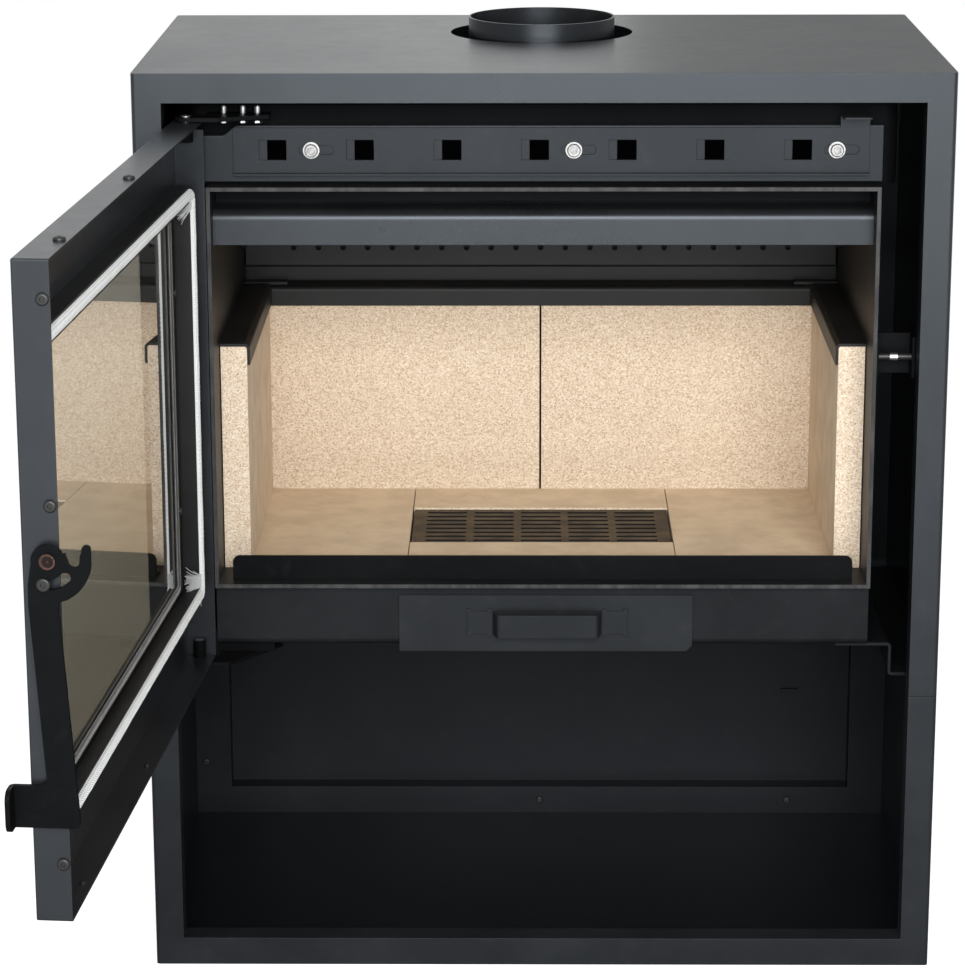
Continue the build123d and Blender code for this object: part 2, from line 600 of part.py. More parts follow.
def grate():
    """A cast grate with rows of slots in groups, standing on the brick bed."""
    half = FLOOR_JOINT_X - BRICK_JOINT / 2 - GRATE_FIT
    front, back = GRATE_FRONT + GRATE_FIT, GRATE_BACK - GRATE_FIT
    body = block((-half, half), (front, back), (BED_TOP, GRATE_HIGH))
    under = GRATE_HIGH - GRATE_PLATE
    row_pitch = (back - front - 2 * GRATE_RIM) / GRATE_ROWS
    places = GridLocations(GRATE_SLOT[0] + GRATE_BAR, row_pitch, GRATE_GROUPS, GRATE_ROWS)
    slots = [Pos(0, (front + back) / 2) * slot for slot in places * SlotOverall(*GRATE_SLOT)]
    cutters = [level(slot, under, GRATE_PLATE) for slot in slots]
    return body - ash_hole(BED_TOP, under) - cutters


def side_cap():
    """The angle that covers the top and inner edge of the right-hand side brick."""
    top = SIDE_BRICK_TOP + CAP_SHEET / 2
    leg = BRICK_FACE - CAP_SHEET / 2
    points = [(INNER_HALF, top), (leg, top), (leg, SIDE_BRICK_TOP - CAP_LEG + CAP_SHEET)]
    section = folded(points, CAP_SHEET, CAP_BEND)
    return frontal(section, LEDGE_BACK, BACK_BRICK_Y - CAP_SHEET - LEDGE_BACK)


def back_cap():
    """The angle over the back bricks, with a tab over the end of each side cap."""
    high = SIDE_BRICK_TOP - CAP_SHEET / 2
    face = BACK_BRICK_Y - CAP_SHEET / 2
    points = [(face, SIDE_BRICK_TOP - CAP_LEG), (face, high), (INNER_BACK, high)]
    bar = sideways(folded(points, CAP_SHEET, CAP_BEND), -BRICK_FACE, 2 * BRICK_FACE)
    reach, setback, wide = CAP_TAB
    tab = block(
        (BRICK_FACE - reach, INNER_HALF),
        (BACK_BRICK_Y + setback, BACK_BRICK_Y + setback + wide),
        (SIDE_BRICK_TOP, SIDE_BRICK_TOP + CAP_SHEET),
    )
    return bar + tab + mirrored(tab)


def log_retainer():
    """The angle on the sill that keeps the logs off the glass."""
    x, low = (-RETAINER_HALF, RETAINER_HALF), LEDGE_TOP
    plate = rect(x, (low, low + RETAINER_HEIGHT))
    plate = fillet(plate.vertices().group_by(Axis.Y)[-1], RETAINER_CORNER)
    foot = block(x, (RETAINER_Y, RETAINER_Y + RETAINER_FOOT), (low, low + RETAINER_SHEET))
    return frontal(plate, RETAINER_Y, RETAINER_SHEET) + foot


def airwash_deflector():
    """The folded sheet that turns the preheated air down over the glass."""
    front = DEFLECTOR_Y + DEFLECTOR_SHEET / 2
    lower_down, fold_down = DEFLECTOR_DOWN
    high = BOX_TOP - fold_down - DEFLECTOR_SHEET / 2
    back = DEFLECTOR_BACK
    points = [(front, BOX_TOP - lower_down), (front, high), (back, high), (back, BOX_TOP - BOX_WALL)]
    return sideways(folded(points, DEFLECTOR_SHEET, DEFLECTOR_BEND), -INNER_HALF, 2 * INNER_HALF)


def secondary_air_duct():
    """The channel on the back wall whose row of holes feeds air to the flames."""
    wall = INNER_BACK
    sheet = AIR_SHEET
    points = [
        (wall - sheet / 2, SIDE_BRICK_TOP + BRICK_WALL_GAP),
        (wall - sheet / 2, DUCT_LOW + sheet / 2),
        (DUCT_Y + sheet / 2, DUCT_LOW + sheet / 2),
        (DUCT_Y + sheet / 2, DUCT_HIGH - sheet / 2),
        (wall, DUCT_HIGH - sheet / 2),
    ]
    half = BRICK_FACE + BRICK - BRICK_WALL_GAP
    duct = sideways(folded(points, sheet, sheet), -half, 2 * half)
    first, z = DUCT_HOLE_END - INNER_HALF, DUCT_LOW + DUCT_HOLE_RISE
    places = [(first + DUCT_HOLE_PITCH * i, z) for i in range(DUCT_HOLES)]
    return duct - screw_holes(places, DUCT_HOLE_RADIUS, DUCT_Y - sheet, 3 * sheet)


def baffle_outline(drop):
    """The baffle's Y-Z outline between its lower face and a face lower by drop."""
    front, high = BAFFLE_FRONT, BOX_TOP - BAFFLE_DOWN
    back, low = INNER_BACK - BAFFLE_BACK_GAP, DUCT_HIGH
    rise = BAFFLE if drop == 0 else 0.0
    lower = [(front, high - drop), (back, low - drop)]
    upper = [(back, low + rise), (front, high + rise)]
    return make_face(Polyline(*lower, *upper, close=True))


def baffle_plate():
    half = INNER_HALF - BAFFLE_SIDE_GAP
    return sideways(baffle_outline(0), -half, 2 * half)


def baffle_rail():
    """The sloping angle on the right-hand wall that carries the baffle."""
    sheet = BAFFLE_RAIL_SHEET
    cut = block((0, WIDTH), (DUCT_Y - BAFFLE_RAIL_SHORT, DEPTH), (BOX_BOTTOM, BOX_TOP))
    flange = sideways(baffle_outline(sheet), INNER_HALF - BAFFLE_RAIL, BAFFLE_RAIL)
    web = sideways(baffle_outline(BAFFLE_RAIL_WEB), INNER_HALF - sheet, sheet)
    return flange + web - cut


# ================================================================ air supply
SLIDER_SCREWS = [x + SLIDER_SCREW_SHIFT for x in (-AIR_REACH, 0, AIR_REACH)]


def window_row(shift):
    """The centres of the air windows."""
    return [(AIR_PITCH * i - AIR_REACH + shift, AIR_WINDOW_Z) for i in range(AIR_WINDOWS)]


def air_box():
    """The box that leads the air from the windows down to the airwash slot."""
    half = AIR_BOX_HALF
    outline = rect((-half, half), (AIR_BOX_Y, AIR_BOX_BACK))
    outline = fillet(outline.vertices().group_by(Axis.Y)[0], AIR_BOX_CORNER)
    low, high = BOX_TOP + AIR_SHEET, AIR_BOX_TOP - AIR_SHEET
    wall = ring(outline, offset(outline, -AIR_SHEET))
    front_end, back_start = AIR_BOX_Y + AIR_BOX_CORNER, AIR_BOX_BACK - AIR_SHEET
    front = wall & rect((-half, half), (AIR_BOX_Y, front_end))
    back = rect((-half, half), (back_start, AIR_BOX_BACK))
    right = rect((half - AIR_SHEET, half), (front_end, back_start))
    wide = AIR_REACH + AIR_WINDOW[0]
    mouth = Pos(0, AIR_WINDOW_Z) * Rectangle(2 * wide, AIR_MOUTH_TALL)
    mouth = frontal(mouth, AIR_BOX_Y - 1, 2 * AIR_SHEET)
    outlet = block((-AIR_REACH, AIR_REACH), AIR_SLOT, (BOX_TOP - 1, BOX_TOP + 2 * AIR_SHEET))
    walls = [level(flat, low, high - low) for flat in (back, right, mirrored(right))]
    top = level(outline, high, AIR_SHEET)
    bottom = level(outline, BOX_TOP, AIR_SHEET)
    return [level(front, low, high - low) - mouth, bottom - outlet, top, *walls]


def upper_front_panel():
    """The fixed panel with the air windows; its top left corner gives way to the hinge bolts."""
    step_foot, step_top = [HINGE_X + reach for reach in PANEL_RELIEF]
    step_height, step_round = PANEL_STEP
    step_low = PANEL_HIGH - step_height
    left = [(step_top, PANEL_HIGH), (step_foot, step_low), (PANEL_LEFT, step_low)]
    low = [(PANEL_LEFT, PANEL_LOW), (PANEL_RIGHT, PANEL_LOW), (PANEL_RIGHT, PANEL_HIGH)]
    plate = make_face(Polyline(*left, *low, close=True))
    step = [v for v in plate.vertices() if step_foot - 1 < v.X < step_top + 1]
    plate = fillet(step, step_round)
    windows = [Pos(x, z) * Rectangle(*AIR_WINDOW) for x, z in window_row(0)]
    screws = [Pos(x, AIR_WINDOW_Z) * Circle(SCREW_SHANK) for x in SLIDER_SCREWS]
    panel = frontal(plate - windows - screws, PANEL_Y, PANEL_SHEET)
    deep = (PANEL_Y, AIR_BOX_Y)
    start = step_top + step_round / 2
    top = block((start, PANEL_RIGHT), deep, (PANEL_HIGH - PANEL_SHEET, PANEL_HIGH))
    bottom = block((PANEL_LEFT, PANEL_RIGHT), deep, (PANEL_LOW, PANEL_LOW + PANEL_SHEET))
    panel = panel + top + bottom
    bend = [
        e
        for e in panel.edges().filter_by(Axis.X)
        if abs(e.center().Y - PANEL_Y) < 0.01 and e.center().Z > PANEL_HIGH - 0.1
    ]
    return fillet(bend, PANEL_BEND)


SLIDER_Y = PANEL_Y - SLIDER_GAP - SLIDER_SHEET


def air_slider():
    """The sliding plate: windows, guide slots, a folded lower lip and the finger tab."""
    plate = rect((SLIDER_LEFT, SLIDER_RIGHT), (SLIDER_LOW, SLIDER_HIGH)) + rect(
        (TAB_LEFT, SLIDER_RIGHT), (SLIDER_HIGH - 1, TAB_TOP)
    )
    windows = [Pos(x, z) * Rectangle(*AIR_WINDOW) for x, z in window_row(AIR_SHIFT)]
    slot = SlotOverall(*SLIDER_SLOT)
    slots = [Pos(x + SLIDER_SLOT_SHIFT, AIR_WINDOW_Z) * slot for x in SLIDER_SCREWS]
    flat = frontal(plate - windows - slots, SLIDER_Y, SLIDER_SHEET)
    lip = block(
        (SLIDER_LEFT, SLIDER_RIGHT),
        (SLIDER_Y - SLIDER_LIP, SLIDER_Y),
        (SLIDER_LOW, SLIDER_LOW + SLIDER_SHEET),
    )
    tab = block(
        (TAB_LEFT, SLIDER_RIGHT),
        (SLIDER_Y - TAB_REACH, SLIDER_Y + SLIDER_SHEET),
        (TAB_TOP - SLIDER_SHEET, TAB_TOP),
    )
    tab = fillet(tab.edges().filter_by(Axis.Z).group_by(Axis.Y)[0], TAB_CORNER)
    return flat + lip + tab


WASHER_Y = SLIDER_Y - SLIDER_GAP - WASHER


def slider_screws():
    length = PANEL_Y + PANEL_SHEET - WASHER_Y
    screw = cap_screw(SCREW_SHANK, length, *SLIDER_HEAD)
    return [aimed(screw, (x, WASHER_Y, AIR_WINDOW_Z), (0, -1, 0)) for x in SLIDER_SCREWS]


def slider_washers():
    flat = ring(Circle(WASHER_RADIUS), Circle(SCREW_SHANK))
    return [frontal(Pos(x, AIR_WINDOW_Z) * flat, WASHER_Y, WASHER) for x in SLIDER_SCREWS]


# ================================================================ ash drawer
DRAWER_Y = BASE_PANEL_Y - DRAWER_GAP - DRAWER_SHEET


def ash_drawer_front():
    plate = rect((DRAWER_LEFT, DRAWER_RIGHT), (DRAWER_LOW, DRAWER_HIGH))
    corner = plate.vertices().sort_by(lambda v: v.X - v.Y)[-1]
    return frontal(chamfer(corner, DRAWER_CORNER), DRAWER_Y, DRAWER_SHEET)


def ash_drawer_tray():
    back_of_front = DRAWER_Y + DRAWER_SHEET
    body = block((-TRAY_HALF, TRAY_HALF), (back_of_front, TRAY_BACK), (TRAY_LOW, TRAY_HIGH))
    hollow = block(
        (-TRAY_HALF + DRAWER_SHEET, TRAY_HALF - DRAWER_SHEET),
        (back_of_front + DRAWER_SHEET, TRAY_BACK - DRAWER_SHEET),
        (TRAY_LOW + DRAWER_SHEET, TRAY_HIGH + 1),
    )
    return body - hollow


def ash_drawer_handle():
    """A folded strap: two feet on the drawer's front and a grip that stands off it."""
    foot_y = DRAWER_Y - HANDLE_SHEET / 2
    inner = HANDLE_GRIP_HALF + HANDLE_SLOPE
    outer = inner + HANDLE_FOOT
    points = [(-outer, foot_y), (-inner, foot_y), (-HANDLE_GRIP_HALF, foot_y - HANDLE_STAND)]
    points += [(-x, y) for x, y in reversed(points)]
    strap = level(folded(points, HANDLE_SHEET, HANDLE_BEND), HANDLE_LOW, HANDLE_TALL)
    bulbs = [
        frontal(Pos(side * x, z) * Circle(HANDLE_BULB), DRAWER_Y - HANDLE_SHEET, HANDLE_SHEET)
        for side in (-1, 1)
        for x in (inner + HANDLE_SLOPE, outer - HANDLE_BULB / 2)
        for z in (HANDLE_LOW, HANDLE_LOW + HANDLE_TALL)
    ]
    return Pos(HANDLE_X, 0, 0) * (strap + bulbs)


def drawer_housing():
    """The channel under the brick bed that the tray runs in."""
    half, low, high = TRAY_HALF + TRAY_FIT, BOX_BOTTOM + BOX_WALL, BED_TOP - BOX_WALL
    start, end = BASE_PANEL_Y + BASE_PANEL_BEND, TRAY_BACK + HOUSING_SPARE + AIR_SHEET
    wall = block((half, half + AIR_SHEET), (start, end), (low, high))
    stop = block((-half, half), (end - AIR_SHEET, end), (low, high))
    return [wall, mirrored(wall), stop]


# ================================================================ rails and hinges
def support_rail(start):
    """The Z-shaped rail that carries the right-hand side of the firebox on the casing."""
    sheet = RAIL_SHEET
    top = BOX_BOTTOM - BASE_PANEL_SHEET - sheet / 2
    foot = BOX_BOTTOM - RAIL_DROP + sheet / 2
    web = RAIL_X - sheet / 2
    inner = RAIL_X - RAIL_TOP_WIDTH
    section = folded([(inner, top), (web, top), (web, foot), (INSIDE_HALF, foot)], sheet, sheet)
    behind = max(start, BASE_PANEL_Y + BASE_PANEL_FOLD)
    spacer = block((inner, BOX_HALF), (behind, BOX_BACK), (top + sheet / 2, BOX_BOTTOM))
    return frontal(section, start, BOX_BACK - start) + spacer


def hinge_outline(tail_back):
    """The plate from the pin's eye, in along the front, and back to the firebox by an S-curve."""
    eye = Pos(HINGE_X, HINGE_Y) * Circle(HINGE_EYE)
    front = HINGE_Y - HINGE_EYE
    arm = rect((HINGE_X, HINGE_X + HINGE_ARM), (front, HINGE_Y + HINGE_EYE))
    left, right = [HINGE_X + reach for reach in HINGE_TAIL]
    step_x, step_y = HINGE_TAIL_SLOPE
    slant = [(left + step_x, front), (right, tail_back - step_y)]
    square = [(right, tail_back), (left, tail_back)]
    slope = make_face(Polyline((left, front), *slant, *square, close=True))
    slope = fillet(slope.vertices().sort_by(lambda v: v.X + v.Y)[1:3], HINGE_TAIL_CORNER)
    bore = Pos(HINGE_X, HINGE_Y) * Circle(PIN_RADIUS)
    return eye + arm + slope - bore


HINGE_BOLT_X = [HINGE_X + reach for reach in HINGE_BOLTS]
TOP_PLATE_Z = DOOR_HIGH + HINGE_PLATE_GAP
LOW_PLATE_Z = DOOR_LOW - HINGE_PLATE_GAP - HINGE_PLATE


def hinge_bolt_holes(z):
    return [
        Pos(x, HINGE_BOLT_Y, z) * Cylinder(HINGE_BOLT_RADIUS, 6 * HINGE_PLATE) for x in HINGE_BOLT_X
    ]


def hinge_plate_top():
    return level(hinge_outline(AIR_BOX_Y), TOP_PLATE_Z, HINGE_PLATE) - hinge_bolt_holes(TOP_PLATE_Z)


def hinge_shelf():
    """The angle on the air box that the top hinge plate is bolted to."""
    left, right = HINGE_BOLT_X[0] - HINGE_SHELF_END, HINGE_BOLT_X[-1] + HINGE_SHELF_END
    front = DOOR_DEPTH + HINGE_SHELF_GAP
    shelf = block((left, right), (front, AIR_BOX_Y), (TOP_PLATE_Z - HINGE_SHELF, TOP_PLATE_Z))
    wall_low = PANEL_HIGH + HINGE_SHELF / 6
    wall = block((left, right), (AIR_BOX_Y - HINGE_SHELF, AIR_BOX_Y), (wall_low, TOP_PLATE_Z))
    return shelf + wall - hinge_bolt_holes(TOP_PLATE_Z)


def hinge_plate_bottom():
    return level(hinge_outline(LOW_TAIL_BACK), LOW_PLATE_Z, HINGE_PLATE)


def hinge_spacer():
    """The block between the bottom hinge plate and the base of the firebox."""
    wide, setback = SPACER_BLOCK
    x = (-BOX_HALF, -BOX_HALF + wide)
    low = LOW_PLATE_Z + HINGE_PLATE
    fold_back = BASE_PANEL_Y + BASE_PANEL_FOLD
    back = LOW_TAIL_BACK - setback
    under = block(x, (BASE_PANEL_Y + setback, back), (low, BOX_BOTTOM - BASE_PANEL_SHEET))
    return under + block(x, (fold_back, back), (BOX_BOTTOM - BASE_PANEL_SHEET, BOX_BOTTOM))


PIN_REACH = BUSH_HEIGHT + DOOR_SHEET + HINGE_PLATE_GAP  # pin inside the door, from its plate


def hinge_pins():
    top = (TOP_PLATE_Z - PIN_REACH, TOP_PLATE_Z + HINGE_PLATE + PIN_STAND)
    low = (LOW_PLATE_Z - LOW_PIN_DROP, LOW_PLATE_Z + HINGE_PLATE + PIN_REACH)
    return [
        Pos(HINGE_X, HINGE_Y, 0) * level(Circle(PIN_RADIUS), start, end - start)
        for start, end in (top, low)
    ]


def hinge_bolts():
    nut_radius, nut_height = HINGE_NUT
    screw = cap_screw(HINGE_BOLT_RADIUS, HINGE_PLATE + HINGE_SHELF + nut_height, *HINGE_HEAD)
    nut = extrude(RegularPolygon(nut_radius, 6) - Circle(HINGE_BOLT_RADIUS), -nut_height)
    bolts = []
    for x in HINGE_BOLT_X:
        bolts.append(Pos(x, HINGE_BOLT_Y, TOP_PLATE_Z + HINGE_PLATE) * screw)
        bolts.append(Pos(x, HINGE_BOLT_Y, TOP_PLATE_Z - HINGE_SHELF) * nut)
    return bolts


# ================================================================ latch on the firebox
ROLLER_Y = PIVOT_Y + NOTCH_REACH
ROLLER_Z = PIVOT_Z
LEVER_X = DOOR_RIGHT + LEVER_STANDOFF  # inner face of the lever
ROLLER_X = LEVER_X + LEVER_SHEET / 2  # middle of the roller


def latch_bracket():
    """A channel welded to the firebox wall, whose two arms hold the pin."""
    near, far = BOX_HALF, BOX_HALF + BRACKET_REACH
    z = (PIVOT_Z - BRACKET_SPAN[0], PIVOT_Z + BRACKET_SPAN[1])
    web = block((near, far), (BRACKET_WEB, BRACKET_WEB + BRACKET_SHEET), z)
    arms = [
        block((x, x + BRACKET_SHEET), (BRACKET_FRONT, BRACKET_WEB + BRACKET_SHEET), z)
        for x in (near, far - BRACKET_SHEET)
    ]
    bore = Cylinder(LATCH_PIN_RADIUS, 4 * BRACKET_REACH)
    return web + arms - aimed(bore, (near, ROLLER_Y, ROLLER_Z), (1, 0, 0))


def latch_pin():
    """The pin through the bracket, with a spacer on each side of the roller."""
    near, far = BOX_HALF, BOX_HALF + BRACKET_REACH
    start = ROLLER_X - ROLLER_WIDTH / 2 - ROLLER_END_GAP
    end = ROLLER_X + ROLLER_WIDTH / 2 + ROLLER_END_GAP
    spot = Pos(ROLLER_Y, ROLLER_Z)
    pin = sideways(spot * Circle(LATCH_PIN_RADIUS), near, far - near)
    sleeve = spot * ring(Circle(SPACER_RADIUS), Circle(LATCH_PIN_RADIUS))
    left = sideways(sleeve, near + BRACKET_SHEET, start - near - BRACKET_SHEET)
    right = sideways(sleeve, end, far - BRACKET_SHEET - end)
    return [pin, left, right]


def latch_roller():
    bore = LATCH_PIN_RADIUS + ROLLER_CLEARANCE
    outline = Pos(ROLLER_Y, ROLLER_Z) * ring(Circle(ROLLER_RADIUS), Circle(bore))
    return sideways(outline, ROLLER_X - ROLLER_WIDTH / 2, ROLLER_WIDTH)


# ================================================================ door
WINDOW_LOW = ROPE_LOW + WINDOW_MARGIN[0]
WINDOW_HIGH = ROPE_HIGH - WINDOW_MARGIN[1]


def rope_frame(margin, corner=0.0):
    """An outline that runs round outside the rope's centre line by a margin."""
    x = (-ROPE_HALF - margin, ROPE_HALF + margin)
    return rect(x, (ROPE_LOW - margin, ROPE_HIGH + margin), corner)


def window_frame(margin, wider=0.0):
    """An outline that runs round outside the window by a margin, wider still at the sides."""
    x = (-WINDOW_HALF - margin - wider, WINDOW_HALF + margin + wider)
    return rect(x, (WINDOW_LOW - margin, WINDOW_HIGH + margin))


SIDE_SCREWS_Z = [DOOR_HIGH - down for down in SIDE_SCREWS_DOWN] + [DOOR_LOW + SIDE_SCREW_UP]
TOP_SCREW_PITCH = (DOOR_RIGHT - DOOR_LEFT) * TOP_SCREW_STEP
TOP_SCREWS_X = [DOOR_RIGHT - TOP_SCREW_END - TOP_SCREW_PITCH * i for i in range(TOP_SCREWS)]
PIVOT_PLACE = (DOOR_RIGHT, PIVOT_Y, PIVOT_Z)
GUIDE_Y = PIVOT_Y - GUIDE_REACH * sin(radians(GUIDE_LEAN))
GUIDE_Z = PIVOT_Z - GUIDE_REACH * cos(radians(GUIDE_LEAN))
GUIDE_PLACE = (DOOR_RIGHT, GUIDE_Y, GUIDE_Z)


def edge_screw_places():
    """Where the small screws sit on the door's edges, and the way each one faces."""
    free = [((DOOR_RIGHT, SIDE_SCREW_Y, z), (1, 0, 0)) for z in SIDE_SCREWS_Z]
    high = [((x, TOP_SCREW_Y, DOOR_HIGH), (0, 0, 1)) for x in TOP_SCREWS_X]
    low = [((x, TOP_SCREW_Y, DOOR_LOW), (0, 0, -1)) for x in TOP_SCREWS_X]
    return free + high + low


def door_casing():
    """The folded front of the door: a tray with the window cut out of it."""
    outer = block((DOOR_LEFT, DOOR_RIGHT), (0, DOOR_DEPTH), (DOOR_LOW, DOOR_HIGH))
    outer = fillet(outer.edges().filter_by(Axis.Y), DOOR_FILLET)
    outer = fillet(outer.faces().sort_by(Axis.Y)[0].edges(), DOOR_FILLET * 0.9)
    inner = block(
        (DOOR_LEFT + DOOR_SHEET, DOOR_RIGHT - DOOR_SHEET),
        (DOOR_SHEET, DOOR_DEPTH + 1),
        (DOOR_LOW + DOOR_SHEET, DOOR_HIGH - DOOR_SHEET),
    )
    window = frontal(window_frame(0), -1, DOOR_SHEET + 2)
    pin_holes = Pos(HINGE_X, HINGE_Y, (DOOR_LOW + DOOR_HIGH) / 2) * Cylinder(
        PIN_RADIUS + PIN_CLEARANCE, DOOR_HIGH - DOOR_LOW + 2
    )
    tall, deep = DOOR_NOTCH
    notch = block(
        (DOOR_LEFT - 1, DOOR_LEFT + tall),
        (DOOR_DEPTH - deep, DOOR_DEPTH + 1),
        (DOOR_HIGH - tall, DOOR_HIGH + 1),
    )
    through = 4 * DOOR_SHEET
    pivot = aimed(Cylinder(LEVER_BORE, through), PIVOT_PLACE, (1, 0, 0))
    guide = aimed(Cylinder(GUIDE_SHANK, through), GUIDE_PLACE, (1, 0, 0))
    screw = Cylinder(EDGE_SCREW_SHANK, through)
    screws = [aimed(screw, place, way) for place, way in edge_screw_places()]
    return outer - inner - window - pin_holes - notch - pivot - guide - screws


def door_screws():
    screw = button_screw(EDGE_SCREW_SHANK, DOOR_SHEET + EDGE_SCREW_REACH)
    return [aimed(screw, place, way) for place, way in edge_screw_places()]


def hinge_bushes():
    """The bushes inside the door's corners that turn on the pins."""
    shape = ring(Circle(BUSH_RADIUS), Circle(PIN_RADIUS + PIN_CLEARANCE))
    high = DOOR_HIGH - DOOR_SHEET - BUSH_HEIGHT
    low = DOOR_LOW + DOOR_SHEET
    return [Pos(HINGE_X, HINGE_Y, 0) * level(shape, z, BUSH_HEIGHT) for z in (high, low)]


CHANNEL_FLOOR = ROPE_Y - ROPE_RADIUS
CHANNEL_WALL = ROPE_RADIUS + CHANNEL_GAP


def rope_channel():
    """The frame that carries the rope: an H-shaped section all round."""
    wall = CHANNEL_WALL + CHANNEL_SHEET
    high = CHANNEL_FLOOR + CHANNEL_LIP
    outline = ring(rope_frame(wall, ROPE_CORNER), rope_frame(-wall))
    body = frontal(outline, DOOR_SHEET, high - DOOR_SHEET)
    groove = ring(rope_frame(CHANNEL_WALL, ROPE_CORNER - CHANNEL_SHEET), rope_frame(-CHANNEL_WALL))
    back_groove = frontal(groove, CHANNEL_FLOOR, CHANNEL_LIP + 1)
    front_groove = frontal(groove, DOOR_SHEET - 1, CHANNEL_FLOOR - CHANNEL_SHEET - DOOR_SHEET + 1)
    return body - back_groove - front_groove


def door_rope():
    """The round sealing rope, a closed loop along the firebox rim."""
    path = Plane.XZ * rope_frame(0, ROPE_CORNER - CHANNEL_SHEET - CHANNEL_WALL).wires()[0]
    start = path.edges().sort_by(Axis.Z)[0]
    section = Plane(origin=start @ 0.5, z_dir=start % 0.5) * Circle(ROPE_RADIUS)
    return Pos(0, ROPE_Y, 0) * sweep(section, path=path)


GLASS_Y = DOOR_SHEET + TAPE
INSIDE_GLASS = GLASS_Y + GLASS


def door_glass():
    return frontal(window_frame(GLASS_EDGE, GLASS_SIDE), GLASS_Y, GLASS)


def glass_gasket():
    """The flat tape in front of the glass and the braid behind it."""
    outline = ring(window_frame(GLASS_EDGE - TAPE_INSET, GLASS_SIDE), window_frame(TAPE_INSET))
    tape = frontal(outline, DOOR_SHEET, TAPE)
    wide, tall = BRAID
    braid = ring(window_frame(BRAID_INSET + wide), window_frame(BRAID_INSET))
    braid = frontal(braid, INSIDE_GLASS, tall)
    edges = [e for e in braid.edges() if e.center().Y > INSIDE_GLASS + tall - 0.01]
    return [tape, fillet(edges, BRAID_ROUND)]


STRIP_INNER = BRAID_INSET + BRAID[0] + STRIP_GAP


def strip_screw_places():
    """The X and Z of the small screws, two in each strip up the sides."""
    x = WINDOW_HALF + STRIP_INNER + STRIP_WIDTH / 2
    middle = (WINDOW_LOW + WINDOW_HIGH) / 2
    return [(side, middle + rise) for side in (-x, x) for rise in STRIP_SCREWS_Z]


def glass_retainers():
    """Strips that hold the glass: one up each side, and a narrow one along the rope's channel."""
    low, high = WINDOW_LOW - STRIP_INNER, WINDOW_HIGH + STRIP_INNER
    right = WINDOW_HALF + STRIP_INNER + STRIP_WIDTH
    wall = CHANNEL_WALL + CHANNEL_SHEET
    along = (-right, right)
    strips = [rect(along, (high, ROPE_HIGH - wall)), rect(along, (ROPE_LOW + wall, low))]
    up = (low + STRIP_GAP, high - STRIP_GAP)
    strips += [rect(x, up) for x in ((-right, STRIP_WIDTH - right), (right - STRIP_WIDTH, right))]
    holes = screw_holes(strip_screw_places(), STRIP_SCREW_SHANK, INSIDE_GLASS, STRIP_SHEET)
    return [frontal(flat, INSIDE_GLASS, STRIP_SHEET) - holes for flat in strips]


def retainer_screws():
    screw = button_screw(STRIP_SCREW_SHANK, STRIP_SHEET, *STRIP_SCREW_HEAD)
    return [
        aimed(screw, (x, INSIDE_GLASS + STRIP_SHEET, z), (0, 1, 0)) for x, z in strip_screw_places()
    ]


# ================================================================ latch lever
def around_pivot(radius, angle):
    """A point of the lever's Y-Z outline, from the pivot."""
    return (radius * cos(radians(angle)), radius * sin(radians(angle)))


def lever_outline():
    """The lever's flat outline, with the pivot at the origin, +X inwards and +Y up."""
    finger_in = NOTCH_REACH + NOTCH_RADIUS + FINGER_GAP
    finger_out = finger_in + FINGER
    shoulder_end = SHOULDER_OUT[-1][1]
    bar = Rot(0, 0, LEVER_LEAN) * rect(LEVER_BAR, (-2 * LEVER_LENGTH, 0))
    bar = bar & rect((-LEVER_LENGTH, LEVER_LENGTH), (-LEVER_LENGTH, shoulder_end + 1))
    shoulder = make_face(Polyline(*SHOULDER_OUT, *SHOULDER_IN, close=True))
    crescent = Circle(finger_out) & rect((0, finger_out), (-finger_out, CRESCENT_HIGH))
    finger = rect((finger_in, finger_out), (-FINGER_ROUND, FINGER_HIGH), FINGER_ROUND)
    body = Circle(LEVER_DISC) + shoulder + crescent + bar + finger
    notch = Pos(NOTCH_REACH, 0) * Circle(NOTCH_RADIUS)
    mouth = make_face(
        Polyline(
            (NOTCH_REACH - NOTCH_RADIUS, 0),
            (LEVER_DISC * 0.9, LEVER_DISC),
            (NOTCH_REACH + NOTCH_RADIUS + NOTCH_FLARE, LEVER_DISC),
            (NOTCH_REACH + NOTCH_RADIUS, 0),
            close=True,
        )
    )
    body = body - notch - (mouth - Circle(LEVER_DISC))
    start = -90 - GUIDE_LEAN
    slot = [
        Pos(*around_pivot(GUIDE_REACH, start + step)) * Circle(GUIDE_SLOT_WIDTH / 2)
        for step in (0, GUIDE_SLOT_ANGLE)
    ]
    half = GUIDE_SLOT_WIDTH / 2
    band = ring(Circle(GUIDE_REACH + half), Circle(GUIDE_REACH - half))
    far = 3 * GUIDE_REACH
    rim = [around_pivot(far, start + GUIDE_SLOT_ANGLE * step / 2) for step in range(3)]
    wedge = make_face(Polyline((0, 0), *rim, close=True))
    return body - slot - (band & wedge) - Circle(LEVER_BORE)


